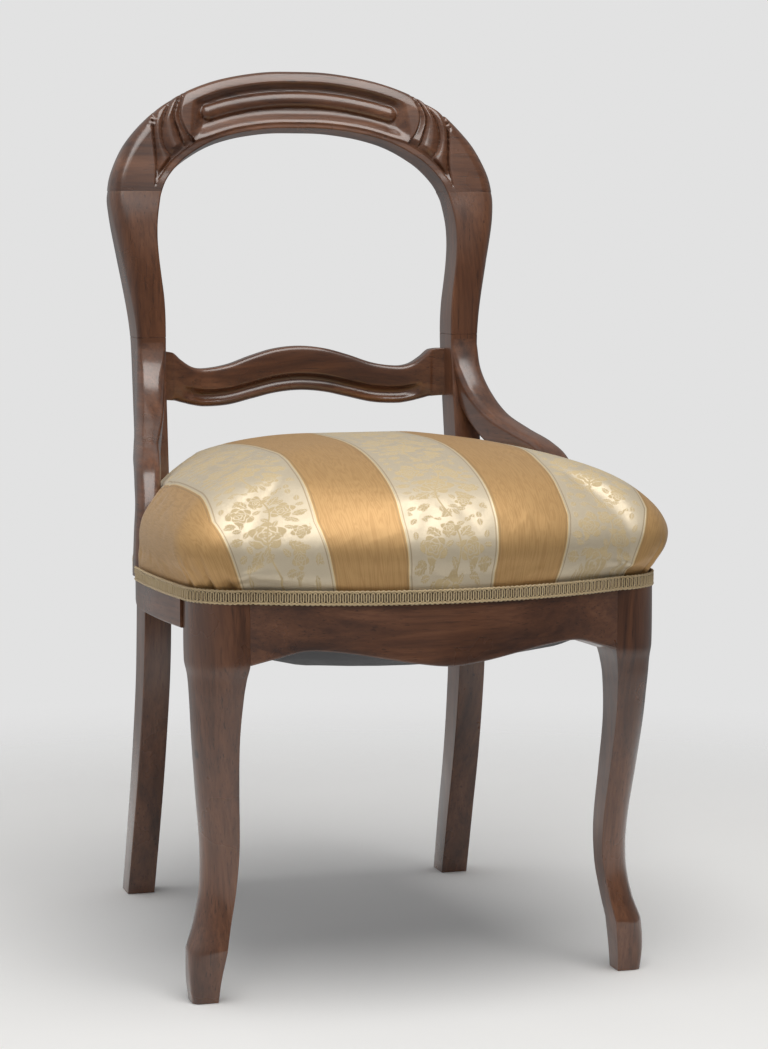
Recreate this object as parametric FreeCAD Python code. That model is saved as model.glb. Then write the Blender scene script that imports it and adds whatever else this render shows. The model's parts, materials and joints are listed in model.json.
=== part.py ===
"""Victorian balloon back chair, in millimetres, with +Z up and +Y to the chair's back.

Lengths across the chair are measured from its middle plane, depths from the front feet, and heights
from the floor. save() moves every piece by DEPTH_SHIFT, so that the chair stands on its own middle.
"""
import math
import os

import FreeCAD
import Part

V = FreeCAD.Vector

# Driving dimensions of the chair
DEPTH_SHIFT = -180.3
JOINT_Z = 752.0            # level joint between back post and crest rail
JOINT_Y = 402.0            # front face of the back at that joint
LEAN_DEG = 12.4            # how far the crest rail leans back
CREST_HALF = 212.0
BOW_END = 180.0            # where the crest starts to bow back
CREST_BOW = 14.0           # how far back its middle stands
CREST_THICK_END = 33.2
CREST_THICK_MIDDLE = 26.5

# Seat frame levels
RAIL_TOP = 392.0
SHOW_TOP = 377.5           # top of the polished wood, where the braid starts
SIDE_BOTTOM = 350.0
TACK_SCALE = 0.989         # the rails step in under the cover
INNER_SCALE = 0.885        # inner faces of the rails
SEAT_MIDDLE_Y = 155.0      # plan outlines grow and shrink about this point

ARC_STEPS = 4
PLAN_STEPS = (6, 3, 3, 3, 2, 1, 2, 3, 3, 3)    # facets along each arc and line of the seat's outline

# Fixings
DOWEL_R = 4.5
TENON_Z = (356.0, 374.0)
SCREW_R = 2.0
BLOCK_Z = (354.0, 384.0)
WEB_THICK = 1.6

# Right half of the seat's plan. The first point is the middle of the front's arc, then the ends and the
# middles of the arcs take turns, and a straight back joins the last point to its mirror image.
SEAT_PLAN = (
    (0, -99), (177, -53.5), (211.5, -38.5), (227, -5), (236, 70), (238.5, 150), (216, 262), (187, 362),
    (172, 391), (150, 402))
# The same outline where the cushion stands out most
CUSHION_PLAN = (
    (0, -110), (185, -65), (227, -43), (240.5, -8), (245.5, 70), (242, 150), (218, 262), (187, 362),
    (172, 391), (150, 402))

# Hoop of the back, in the plane of the crest: inner and outer edge at each station, joint to middle
HOOP = (
    ((160.5, -18), (209.6, -22)), ((156, 0), (209.8, 0)), ((147, 17.1), (205, 24)), ((131.5, 31.5), (190, 54)),
    ((115, 45.9), (168, 78.5)), ((98.5, 55.5), (140, 99.3)), ((82, 62.2), (112, 114)), ((60, 67), (78, 125.8)),
    ((30, 71.4), (37, 133.6)), ((0, 72.2), (0, 135.2)))

# Carving of the crest: sunk panel, bar in it, and the lines between the lobes at each end
PANEL = ((0, 119.8), (104, 99.5), (118.5, 84), (112, 69), (100, 66.5), (88, 69.5), (0, 81))
PANEL_DEEP = 5.0
BAR_LINE = ((-99, 88.5), (0, 104.5), (99, 88.5))
BAR_R = 9.4
BAR_SUNK = 8.0
LOBE_LINES = (
    ((121, 111), (131, 84), (119, 57)), ((130, 107), (139, 78), (129, 52)), ((144, 99), (152.5, 68), (144, 37)),
    ((164, 83), (161.5, 48), (161.5, 9)))
LOBE_WIDE = 4.0
LOBE_DEEP = 2.6

# Back post seen from the front: height, inner edge and outer edge
POST_EDGES = (
    (-30, 163.2, 192.6), (0, 163, 192.2), (80, 161.5, 190.5), (160, 160.5, 189.3), (270, 159, 187.5),
    (400, 158, 186.3), (560, 156.6, 185.8), (600, 156, 186.6), (620, 156.2, 188.6), (640, 157.4, 191.8),
    (660, 159.9, 195.6), (680, 162.1, 199.6), (700, 163.2, 203.5), (720, 162.3, 207.2), (740, 159, 209.6),
    (752, 156, 209.8), (769, 147, 205.6))

# Back post seen from the side: height, front edge and depth
POST_SIDE = (
    (0, 438, 31), (40, 424, 33), (80, 410.5, 35), (120, 397, 36), (160, 385, 37.5), (200, 375, 39), (240, 366.5, 41),
    (280, 362, 43), (330, 361, 43), (400, 364, 43.5), (480, 374, 43.5), (560, 385.5, 43), (600, 388, 43),
    (640, 388, 43), (680, 388.7, 42), (720, 393.5, 38), (752, 402, 34))

# Middle rail of the back: distance from the middle, upper edge, lower edge
MID_RAIL = (
    (0, 587.5, 540.3), (27, 585, 538), (53, 578, 532.3), (80, 569, 526.3), (107, 565.2, 525), (121, 567.5, 527),
    (133, 575, 530), (143, 583, 532.5), (170, 584, 534))
MID_BOW = ((-170, 408), (0, 430), (170, 408))
MID_THICK = 18.0
MID_HOLLOW_LOW = (
    (134, 540), (127, 534.8), (120, 532.5), (107, 530.5), (80, 531.8), (53, 537.8), (27, 543.5), (12, 545.4),
    (0, 545.8))
MID_HOLLOW_HIGH = (
    (134, 540), (127, 544), (120, 545), (107, 543.5), (80, 544.8), (53, 550.8), (27, 556.5), (12, 558.4),
    (0, 558.8))
MID_HOLLOW_DEEP = 4.0
MID_TENON = (414.0, 422.0, 538.0, 574.0)

# Front leg: height, middle across, middle depth, width, depth
FRONT_LEG = (
    (50, 208.3, -5.6, 33.6, 30.6), (72, 202.3, -1.2, 30.5, 28), (105, 196.2, 0.6, 30.3, 26.2),
    (145, 194.9, -2.6, 32.3, 28.3), (200, 198.8, -11, 35.2, 32.3), (250, 201.9, -19.4, 38, 36.6),
    (300, 202.2, -25.4, 43, 45.5), (340, 201.5, -24.8, 49, 55), (RAIL_TOP, 201.5, -24.8, 49, 57))
FRONT_FOOT = ((0, 209.9, 1.5, 24.2, 23.5), (20, 210.2, -0.6, 28.2, 27), (50, 208.3, -5.6, 33.6, 30.6))

LEG_ROUND = 0.92
LEG_INNER = 177.0
LEG_BACK = 3.7

# Lower edge of the front rail: distance from the middle and height
FRONT_SCALLOP = ((0, 319.5), (32, 322.8), (66, 328.7), (98, 333.6), (130, 335), (157, 327.5), (178, 320.5))

# Hip brace: middle line (across, depth, height), then its width and thickness
BRACE_LINE = (
    (171, 398, 572), (176, 378, 545), (187, 345, 513), (199, 302, 496.5), (211, 252, 488), (219.5, 208, 475),
    (224.5, 186, 449), (228, 180, 418), (229, 180, SHOW_TOP))
BRACE_SIZES = ((26, 30), (25, 27), (24, 24), (22, 22), (21, 21), (21, 22), (20, 24), (18, 26), (16, 27))

BRACE_CORNER = 5.0
BRACE_NOTCH_X = 219.0
BRACE_NOTCH_Y = (165.5, 194.5)

# Cushion: height, size against the plan, and how far it has swelled from the plan
CUSHION = (
    (SHOW_TOP + 1, 0.998, 0), (RAIL_TOP, 1.0, 0), (406, 1.0, 0.7), (424, 1.0, 1), (441, 0.98, 1), (457, 0.92, 1),
    (473, 0.82, 1), (486, 0.69, 1), (497, 0.52, 1), (504.5, 0.32, 1), (507.5, 0.08, 1))
SPRING_CANVAS = ((RAIL_TOP, 0.92), (425, 0.87), (448, 0.72), (450, 0.1))
DUST_COVER = ((349.5, 0.93), (334, 0.84), (316, 0.69), (301, 0.47), (294, 0.1))
CLOTH_SCALE = 0.01
WEB_SAG = 46.0
WEB_X = (-100.0, 0.0, 100.0)
WEB_Y = (45.0, 155.0, 265.0)
WEB_WIDE = 52.0
SPRING_SPOTS = ((-100, 45), (100, 45), (0, 155), (-100, 265), (100, 265))
SPRING_TURNS = 3
SPRING_SIDES = 6
SPRING_WIRE = 3.4
SPRING_END = 40.0
SPRING_WAIST = 26.0
SPRING_TOP = 444.0
BRAID_SCALE = 1.009
BRAID_HIGH = 13.0


def curve(points):
    """Edges through the points: an arc through each three, or a line where the three are in line."""
    edges = []
    for trio in zip(points[::2], points[1::2], points[2::2]):
        a, b, c = (V(*p) for p in trio)
        bend = (b - a).cross(c - a).Length / (c - a).Length
        edges.append(Part.Arc(a, b, c).toShape() if bend > 0.05 else Part.makeLine(a, c))
    return edges


def line(a, b):
    return Part.makeLine(V(*a), V(*b))


def face_of(edges):
    return Part.Face(Part.Wire(Part.__sortEdges__(edges)))


def mirrored(shape):
    return shape.mirror(V(0, 0, 0), V(1, 0, 0))


def both_ways(half):
    """Points of a right half, led by their mirror images."""
    return [(-p[0],) + tuple(p[1:]) for p in reversed(half) if p[0] > 0] + list(half)


def box(x0, x1, y0, y1, z0, z1):
    return Part.makeBox(x1 - x0, y1 - y0, z1 - z0, V(x0, y0, z0))


def rod(start, end, radius):
    """A round rod from one point to another."""
    a = V(*start)
    b = V(*end)
    return Part.makeCylinder(radius, (b - a).Length, a, b - a)


def save(name, shape):
    """Write one piece, moved onto the chair's own middle."""
    piece = shape.copy()
    piece.translate(V(0, DEPTH_SHIFT, 0))
    if not piece.isValid():
        raise RuntimeError("bad shape: " + name)
    piece.exportStep("parts/" + name + ".step")


def save_pair(name, right):
    save("right_" + name, right)
    save("left_" + name, mirrored(right))


def save_each(name, pieces):
    """One file for each of a row of like pieces, numbered from 1."""
    for number, piece in enumerate(pieces, 1):
        save(name + "_" + str(number), piece)


# Seat plan

def plan_points(scale, z, swell=0.0):
    """Right half of the seat's outline at a height, shrunk or grown about the seat's middle."""
    points = []
    for (x, y), (far_x, far_y) in zip(SEAT_PLAN, CUSHION_PLAN):
        x += (far_x - x) * swell
        y += (far_y - y) * swell
        points.append((x * scale, SEAT_MIDDLE_Y + (y - SEAT_MIDDLE_Y) * scale, z))
    return points


def seat_wire(scale, z, swell=0.0):
    """Closed outline of the seat, made of arcs and a straight back."""
    right = plan_points(scale, z, swell)
    left = [(-x, y, h) for x, y, h in right]
    edges = [Part.Arc(V(*left[1]), V(*right[0]), V(*right[1])).toShape()]
    for i in range(1, len(right) - 2, 2):
        edges.append(Part.Arc(V(*right[i]), V(*right[i + 1]), V(*right[i + 2])).toShape())
    edges.append(line(right[-1], left[-1]))
    for i in range(len(left) - 1, 2, -2):
        edges.append(Part.Arc(V(*left[i]), V(*left[i - 1]), V(*left[i - 2])).toShape())
    return Part.Wire(edges)


def seat_prism(scale, z0, z1):
    return Part.Face(seat_wire(scale, z0)).extrude(V(0, 0, z1 - z0))


def ring_of(wire, steps):
    """Corners of an outline of lines and arcs, each taken in its number of straight sides."""
    if not steps:
        steps = [1 if edge.Curve.TypeId == "Part::GeomLine" else ARC_STEPS for edge in wire.Edges]
    corners = []
    for edge, count in zip(wire.Edges, steps):
        corners += edge.discretize(count + 1)[:-1]
    return corners


def flat_face(corners):
    return Part.Face(Part.makePolygon(list(corners) + [corners[0]]))


def faceted_loft(wires, steps=()):
    """Ruled body through outlines of the same number of lines and arcs, in flat facets."""
    rings = [ring_of(wire, steps) for wire in wires]
    faces = [flat_face(rings[0]), flat_face(rings[-1])]
    for low, high in zip(rings, rings[1:]):
        for i in range(len(low)):
            j = (i + 1) % len(low)
            faces.append(flat_face((low[i], low[j], high[j])))
            faces.append(flat_face((low[i], high[j], high[i])))
    body = Part.makeSolid(Part.makeShell(faces)).removeSplitter()
    if body.Volume < 0:
        body.reverse()
    return body


def seat_loft(stations, change_scale=0.0, change_z=0.0):
    """Body through outlines of the seat: height, scale and, for the cushion, swell."""
    wires = [seat_wire(scale + change_scale, z + change_z, *swell) for z, scale, *swell in stations]
    return faceted_loft(wires, PLAN_STEPS)


def eased(stations, steps):
    """Stations of a table with smooth ones put between them."""
    out = []
    for i in range(len(stations) - 1):
        p0 = stations[max(i - 1, 0)]
        p1, p2 = stations[i], stations[i + 1]
        p3 = stations[min(i + 2, len(stations) - 1)]
        for k in range(steps):
            t = k / steps
            out.append(tuple(
                b + 0.5 * t * (c - a + t * (2 * a - 5 * b + 4 * c - d + t * (3 * (b - c) + d - a)))
                for a, b, c, d in zip(p0, p1, p2, p3)))
    return out + [tuple(stations[-1])]


# Back posts, each a back leg and an upright in one

def back_post():
    lean = math.tan(math.radians(LEAN_DEG))
    inner = [(x, 300, z + (300 - JOINT_Y) * -lean) for z, x, outer in POST_EDGES]
    outer = [(x, 300, z + (300 - JOINT_Y) * -lean) for z, inner_x, x in POST_EDGES]
    outline = face_of(curve(inner) + curve(outer) + [line(inner[0], outer[0]), line(inner[-1], outer[-1])])
    board = outline.extrude(V(0, 220, -220 * lean))
    front = [(140, y, z) for z, y, depth in POST_SIDE]
    back = [(140, y + depth, z) for z, y, depth in POST_SIDE]
    side = face_of(curve(front) + curve(back) + [line(front[0], back[0]), line(front[-1], back[-1])])
    return board.common(side.extrude(V(90, 0, 0)))


# Crest rail, drawn upright and then leant back

def whole_line(half):
    """A right half that ends on the middle plane, carried on into its mirror image."""
    return list(half) + [(-p[0],) + tuple(p[1:]) for p in reversed(half[:-1])]


def bow_at(x):
    """How far the crest's front stands back at a distance from the middle: two equal opposed arcs."""
    quarter = BOW_END / 2
    radius = (quarter ** 2 + (CREST_BOW / 2) ** 2) / CREST_BOW
    x = abs(x)
    if x >= BOW_END:
        return 0.0
    if x >= quarter:
        return radius - math.sqrt(radius ** 2 - (BOW_END - x) ** 2)
    return CREST_BOW - radius + math.sqrt(radius ** 2 - x ** 2)


def bow_edges(end_depth, bow):
    """Plan line of the crest's face, from end to end, at a depth behind its front at the ends."""
    quarter = BOW_END / 2
    edges = [line((side * CREST_HALF, end_depth, -40), (side * BOW_END, end_depth, -40)) for side in (-1, 1)]
    for side in (-1, 1):
        points = (V(side * x, end_depth + bow_at(x) * bow / CREST_BOW, -40) for x in (BOW_END, BOW_END * 0.75, quarter))
        edges.append(Part.Arc(*points).toShape())
    points = (V(x, end_depth + bow_at(x) * bow / CREST_BOW, -40) for x in (-quarter, 0, quarter))
    return edges + [Part.Arc(*points).toShape()]


def bowed_slab(front, back, back_bow=CREST_BOW):
    """An upright slab with bowed faces, between two depths at its ends."""
    ends = [line((x, front, -40), (x, back, -40)) for x in (-CREST_HALF, CREST_HALF)]
    face = face_of(bow_edges(front, CREST_BOW) + bow_edges(back, back_bow) + ends)
    return face.extrude(V(0, 0, 200))


def on_crest(points, depth):
    """Points of the upright crest at a depth behind its bowed front face."""
    return [(x, bow_at(x) + depth, z) for x, z in points]


def lobe_sinking(points):
    """Crescent sunk beside a line on the crest's face, pointed at both ends."""
    far_side = [points[0]] + [(x + LOBE_WIDE, z) for x, z in points[1:-1]] + [points[-1]]
    arcs = [Part.Arc(*[V(x, -20, z) for x, z in side]).toShape() for side in (points, far_side)]
    outline = face_of(arcs)
    return outline.extrude(V(0, 60, 0)).common(bowed_slab(-5, LOBE_DEEP))


def sunk_panel():
    whole = list(PANEL[1:-1]) + [PANEL[-1]] + [(-x, z) for x, z in reversed(PANEL[1:-1])]
    points = [(-PANEL[1][0], -20, PANEL[1][1]), (0, -20, PANEL[0][1])] + [(x, -20, z) for x, z in whole]
    outline = face_of(curve(points)).extrude(V(0, 60, 0))
    return outline.common(bowed_slab(-5, PANEL_DEEP))


def panel_bar():
    """Raised half-round bar that lies in the panel, with a round nose at each end."""
    points = on_crest(BAR_LINE, BAR_SUNK)
    arc = Part.Arc(*[V(*p) for p in points]).toShape()
    path = Part.Wire([arc])
    circle = Part.Wire([Part.makeCircle(BAR_R, V(*points[0]), arc.tangentAt(arc.FirstParameter))])
    bar = path.makePipeShell([circle], True, True)
    for end in (points[0], points[-1]):
        bar = bar.fuse(Part.makeSphere(BAR_R, V(*end)))
    return bar


def crest_rail():
    inner = [(a[0], -20, a[1]) for a in whole_line([p[0] for p in HOOP])]
    outer = [(b[0], -20, b[1]) for b in whole_line([p[1] for p in HOOP])]
    outline = face_of(curve(inner) + curve(outer) + [line(inner[0], outer[0]), line(inner[-1], outer[-1])])
    crest = outline.extrude(V(0, 90, 0)).common(
        bowed_slab(0, CREST_THICK_END, CREST_BOW + CREST_THICK_MIDDLE - CREST_THICK_END))
    bar = panel_bar().common(crest)
    crest = crest.cut(sunk_panel())
    for points in LOBE_LINES:
        cut = lobe_sinking(points)
        crest = crest.cut(cut).cut(mirrored(cut))
    crest = crest.fuse(bar)
    crest.rotate(V(0, 0, 0), V(1, 0, 0), -LEAN_DEG)
    crest.translate(V(0, JOINT_Y, JOINT_Z))
    return crest.common(box(-260, 260, 300, 520, JOINT_Z, 960))


# Middle rail of the back, hollowed along its lower edge and tenoned into the posts

def mid_layer(front, back):
    """Upright slab that follows the middle rail's bow, between two depths behind its front face."""
    faces = [Part.Arc(*[V(x, y + depth, 500) for x, y in MID_BOW]).toShape() for depth in (front, back)]
    ends = [line((x, y + front, 500), (x, y + back, 500)) for x, y in (MID_BOW[0], MID_BOW[-1])]
    return face_of(faces + ends).extrude(V(0, 0, 120))


def mid_rail(post):
    reach = MID_RAIL[-1][0]
    upper = [(x, 380, z) for x, z, low in both_ways(MID_RAIL)]
    lower = [(x, 380, z) for x, high, z in both_ways(MID_RAIL)]
    outline = face_of(curve(upper) + curve(lower) + [line(upper[0], lower[0]), line(upper[-1], lower[-1])])
    rail = outline.extrude(V(0, 100, 0)).common(mid_layer(0, MID_THICK))
    hollow_low = [(x, 380, z) for x, z in whole_line(MID_HOLLOW_LOW)]
    hollow_high = [(x, 380, z) for x, z in whole_line(MID_HOLLOW_HIGH)]
    hollow = face_of(curve(hollow_low) + curve(hollow_high)).extrude(V(0, 100, 0))
    rail = rail.cut(hollow.common(mid_layer(-10, MID_HOLLOW_DEEP)))
    rail = rail.cut(post).cut(mirrored(post))
    rail = max(rail.Solids, key=lambda solid: solid.Volume)
    for side in (-1, 1):
        tenon = box(min(side * 150, side * 174), max(side * 150, side * 174), *MID_TENON)
        rail = rail.fuse(tenon)
    return rail


# Hip braces, swept from the post down to the side rail

def brace_section(stations, index):
    """Outline square to the brace's line at one station: across, depth, height, width, thickness."""
    x, y, z, wide, thick = stations[index]
    here = V(x, y, z)
    before = V(*stations[max(index - 1, 0)][:3])
    after = V(*stations[min(index + 1, len(stations) - 1)][:3])
    along = (after - before).normalize()
    if index == len(stations) - 1:
        along = V(0, 0, -1)
    across = (V(1, 0, 0) - along * along.x).normalize()
    up = across.cross(along)
    a, b, c = wide / 2, thick / 2, BRACE_CORNER
    corners = []
    for u, v in ((a - c, b), (c - a, b), (-a, b - c), (-a, c - b), (c - a, -b), (a - c, -b), (a, c - b), (a, b - c)):
        corners.append(here + across * u + up * v)
    return Part.makePolygon(corners + corners[:1])


def hip_brace(post):
    stations = eased([spot + size for spot, size in zip(BRACE_LINE, BRACE_SIZES)], 2)
    wires = [brace_section(stations, i) for i in range(len(stations))]
    brace = faceted_loft(wires).cut(post)
    return max(brace.Solids, key=lambda solid: solid.Volume)


# Front legs

def leg_section(z, x, y, wide, deep):
    """Square section whose outer front corner is one big quarter round."""
    x0, x1, y0, y1 = x - wide / 2, x + wide / 2, y - deep / 2, y + deep / 2
    r = LEG_ROUND * min(wide, deep)
    middle = (x1 - r + r * math.sqrt(0.5), y0 + r - r * math.sqrt(0.5), z)
    arc = Part.Arc(V(x1 - r, y0, z), V(*middle), V(x1, y0 + r, z)).toShape()
    return Part.Wire([
        line((x0, y0, z), (x1 - r, y0, z)), arc, line((x1, y0 + r, z), (x1, y1, z)), line((x1, y1, z), (x0, y1, z)),
        line((x0, y1, z), (x0, y0, z))])


def front_leg():
    leg = faceted_loft([leg_section(*station) for station in eased(FRONT_LEG, 2)])
    foot = faceted_loft([leg_section(*station) for station in FRONT_FOOT])
    step = box(150, 260, -90, 60, SHOW_TOP, RAIL_TOP + 5).cut(seat_prism(TACK_SCALE, SHOW_TOP - 5, RAIL_TOP + 9))
    return leg.fuse(foot).cut(step)


# Seat rails

def rail_ring():
    wood = seat_prism(1.0, 300, SHOW_TOP).fuse(seat_prism(TACK_SCALE, SHOW_TOP, RAIL_TOP))
    return wood.cut(seat_prism(INNER_SCALE, 290, RAIL_TOP + 9))


def front_rail(ring):
    rail = ring.common(box(-LEG_INNER, LEG_INNER, -130, 20, 290, 400))
    points = [(x, -150, z) for x, z in both_ways(FRONT_SCALLOP)]
    ends = (points[0][0], -150, 280), (points[-1][0], -150, 280)
    below = face_of(curve(points) + [line(points[0], ends[0]), line(*ends), line(ends[1], points[-1])])
    rail = rail.cut(below.extrude(V(0, 200, 0)))
    return rail.cut(seat_prism(0.94, 280, SIDE_BOTTOM))


def side_rail(ring, leg, brace):
    side_front = [(100, y, z) for z, y, depth in POST_SIDE if z <= 600]
    ends = (100, 600, side_front[0][2]), (100, 600, side_front[-1][2])
    behind = face_of(
        curve(side_front) + [line(side_front[0], ends[0]), line(*ends), line(ends[1], side_front[-1])])
    rail = ring.common(box(100, 260, -10, 380, SIDE_BOTTOM, 400)).cut(behind.extrude(V(200, 0, 0)))
    rail = rail.cut(box(100, 260, -60, LEG_BACK, 300, 400)).cut(leg).cut(brace)
    return max(rail.Solids, key=lambda solid: solid.Volume)


def back_rail(ring, post):
    rail = ring.common(box(-165, 165, 340, 430, SIDE_BOTTOM, 400)).cut(post).cut(mirrored(post))
    return max(rail.Solids, key=lambda solid: solid.Volume)


def corner_block(triangle, obstacle):
    z0, z1 = BLOCK_Z
    points = [V(x, y, z0) for x, y in triangle]
    wedge = Part.Face(Part.makePolygon(points + points[:1])).extrude(V(0, 0, z1 - z0))
    block = wedge.common(seat_prism(INNER_SCALE, z0, z1)).cut(obstacle)
    return max(block.Solids, key=lambda solid: solid.Volume)


# Dowels and screws

def dowels(ends):
    return Part.makeCompound([rod(a, b, DOWEL_R) for a, b in ends])


def screw(head, tip):
    """Wood screw from its head to its tip."""
    return rod(head, tip, SCREW_R)


# Spring seat: webbing, coil springs, canvas, stuffing, cover, braid and dust cloth

def web_z(x, y):
    """Height of the stretched webbing under a point of the seat."""
    across = 1 - (x / 205.0) ** 2
    along = 1 - ((y - SEAT_MIDDLE_Y) / 225.0) ** 2
    return SIDE_BOTTOM - 1.0 - WEB_SAG * max(across, 0) * max(along, 0)


def strap(stations, drop):
    """A strap through stations, each the two ends of its width."""
    wires = []
    for a, b in stations:
        top = web_z((a[0] + b[0]) / 2, (a[1] + b[1]) / 2) - drop
        corners = [V(x, y, top) for x, y in (a, b)] + [V(x, y, top - WEB_THICK) for x, y in (b, a)]
        wires.append(Part.makePolygon(corners + corners[:1]))
    return faceted_loft(wires)


def long_strap(x):
    half = WEB_WIDE / 2
    return strap([((x - half, y), (x + half, y)) for y in (-52, 0, 60, 155, 250, 320, 380)], 0.0)


def cross_strap(y):
    half = WEB_WIDE / 2
    return strap([((x, y - half), (x, y + half)) for x in (-208, -150, -80, 0, 80, 150, 208)], WEB_THICK + 0.4)


def coil_spring(x, y):
    """Hourglass spring of square wire, bent in short straight lengths."""
    low = web_z(x, y) + SPRING_WIRE + 3.0
    high = SPRING_TOP
    steps = SPRING_TURNS * SPRING_SIDES
    wires = []
    for i in range(steps + 1):
        share = i / steps
        angle = 2 * math.pi * i / SPRING_SIDES
        radius = SPRING_WAIST + (SPRING_END - SPRING_WAIST) * (2 * share - 1) ** 2
        middle = V(x + radius * math.cos(angle), y + radius * math.sin(angle), low + (high - low) * share)
        out = V(math.cos(angle), math.sin(angle), 0) * (SPRING_WIRE / 2)
        up = V(0, 0, SPRING_WIRE / 2)
        corners = [middle + out + up, middle - out + up, middle - out - up, middle + out - up]
        wires.append(Part.makePolygon(corners + corners[:1]))
    return faceted_loft(wires)


def tenoned(rail, *tenons):
    for tenon in tenons:
        rail = rail.fuse(tenon)
    return rail


def build():
    os.makedirs("parts", exist_ok=True)
    post = back_post()
    crest = crest_rail()
    middle = mid_rail(post)
    leg = front_leg()
    brace = hip_brace(post)
    ring = rail_ring()
    front = front_rail(ring)
    side = side_rail(ring, leg, brace)
    back = back_rail(ring, post)
    front_block = corner_block(((95, -60), (260, -60), (260, 105)), leg)
    back_block = corner_block(((58, 420), (260, 420), (260, 218)), post)

    # Tenons go on the rails, and every hole is cut by the piece that fills it
    leg_tenon = box(LEG_INNER - 12, LEG_INNER + 22, -44, -34, *TENON_Z)
    front = tenoned(front, leg_tenon, mirrored(leg_tenon))
    side = tenoned(side, box(206, 216, LEG_BACK - 24, LEG_BACK + 12, *TENON_Z), box(168, 178, 340, 386, *TENON_Z))
    post_tenon = box(140, 178, 388, 396, *TENON_Z)
    back = tenoned(back, post_tenon, mirrored(post_tenon))
    crest_pins = dowels([((x, 419, 734), (x, 419, 770)) for x in (173, 194)])
    crest_pins = Part.makeCompound(crest_pins.Solids + mirrored(crest_pins).Solids)
    brace_screws = Part.makeCompound([
        screw((229, 180, SIDE_BOTTOM), (229, 180, 405)), screw((179, 428.6, 565), (179, 380, 565))])
    brace_screws = Part.makeCompound(brace_screws.Solids + mirrored(brace_screws).Solids)
    crest = crest.cut(crest_pins)
    post = post.cut(middle).cut(side).cut(back).cut(crest_pins).cut(brace_screws)
    leg = leg.cut(front).cut(side)
    brace = brace.cut(brace_screws)
    side = side.cut(brace_screws)

    save("crest_rail", crest)
    save("mid_rail", middle)
    save("front_seat_rail", front)
    save("back_seat_rail", back)
    save_pair("back_post", post)
    save_pair("hip_brace", brace)
    save_pair("front_leg", leg)
    save_pair("seat_rail", side)
    save_pair("front_block", front_block)
    save_pair("back_block", back_block)
    save_each("crest_dowel", crest_pins.Solids)
    save_each("brace_screw", brace_screws.Solids)

    save_each("long_web", [long_strap(x) for x in WEB_X])
    save_each("cross_web", [cross_strap(y) for y in WEB_Y])
    save_each("coil_spring", [coil_spring(x, y) for x, y in SPRING_SPOTS])
    canvas_outside = seat_loft(SPRING_CANVAS)
    canvas = canvas_outside.cut(seat_loft(SPRING_CANVAS, -CLOTH_SCALE / 2, -1.0))
    save("spring_canvas", canvas.cut(box(-300, 300, -200, 500, 300, RAIL_TOP)))
    obstacles = [post, mirrored(post), brace, mirrored(brace)]
    for side_sign in (-1, 1):
        x0, x1 = sorted((side_sign * BRACE_NOTCH_X, side_sign * 280))
        obstacles.append(box(x0, x1, *BRACE_NOTCH_Y, 370, 460))
    whole = seat_loft(CUSHION)
    hollow = seat_loft(CUSHION[::2], -CLOTH_SCALE, -2.0)
    cover = whole.cut(hollow).cut(seat_prism(TACK_SCALE, 370, RAIL_TOP))
    stuffing = hollow.common(box(-300, 300, -200, 500, RAIL_TOP, 520)).cut(canvas_outside)
    braid = seat_prism(BRAID_SCALE, SHOW_TOP, SHOW_TOP + BRAID_HIGH).cut(seat_prism(1.0005, 300, 400))
    for thing in obstacles:
        cover = cover.cut(thing)
        stuffing = stuffing.cut(thing)
        braid = braid.cut(thing)
    cover = max(cover.Solids, key=lambda solid: solid.Volume)
    save("seat_cover", cover)
    save("stuffing", stuffing)
    save("gimp_braid", braid)
    dust = seat_loft(DUST_COVER).cut(seat_loft(DUST_COVER, -CLOTH_SCALE / 2, 1.2))
    for thing in (leg, mirrored(leg), post, mirrored(post)):
        dust = dust.cut(thing)
    save("dust_cover", dust)


build()
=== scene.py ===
import bisect
import json
import math

import bmesh
import bpy
import numpy as np
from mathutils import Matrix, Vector


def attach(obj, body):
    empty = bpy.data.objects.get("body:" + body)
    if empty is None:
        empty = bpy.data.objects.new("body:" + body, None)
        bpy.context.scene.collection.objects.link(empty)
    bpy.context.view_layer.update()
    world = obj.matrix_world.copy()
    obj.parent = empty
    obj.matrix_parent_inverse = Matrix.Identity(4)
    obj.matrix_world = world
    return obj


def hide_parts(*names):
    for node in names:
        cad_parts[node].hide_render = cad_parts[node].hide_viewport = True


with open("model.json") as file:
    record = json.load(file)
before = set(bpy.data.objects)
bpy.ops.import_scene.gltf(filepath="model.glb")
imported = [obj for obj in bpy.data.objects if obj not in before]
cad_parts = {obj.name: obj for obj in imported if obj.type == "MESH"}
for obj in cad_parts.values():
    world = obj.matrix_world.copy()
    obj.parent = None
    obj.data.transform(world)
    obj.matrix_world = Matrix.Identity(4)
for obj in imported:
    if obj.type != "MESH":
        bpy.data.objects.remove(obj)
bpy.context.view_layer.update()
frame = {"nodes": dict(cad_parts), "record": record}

# The studio: a pale seamless floor that fades into the backdrop, one large soft light overhead with two
# faint ones at the left and in front, and a camera a little above the seat that sees the front and a
# little of the left side.

MM = 0.001
CAMERA_PLACE = (-0.791, -2.7073, 0.719)
CAMERA_TURN = (83.96, 0.0, -16.65)
CAMERA_LENS = 97.84
BACKDROP = (0.76, 0.76, 0.76, 1.0)
FLOOR_RADIUS = 3.2
FLOOR_DROP = 0.0004
FADE_START, FADE_END = 0.60, 1.5
LIGHTS = (
    ("overhead_box", (0.0, -1.05, 2.75), (0, 0, 0.45), 2.1, 62.0, (1.0, 0.985, 0.96)),
    ("left_box", (-3.2, 0.5, 1.7), (0, 0, 0.5), 2.4, 3.0, (0.93, 0.97, 1.0)),
    ("front_box", (0.9, -3.4, 2.1), (0, 0, 0.45), 1.6, 2.0, (1, 1, 1)))


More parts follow.
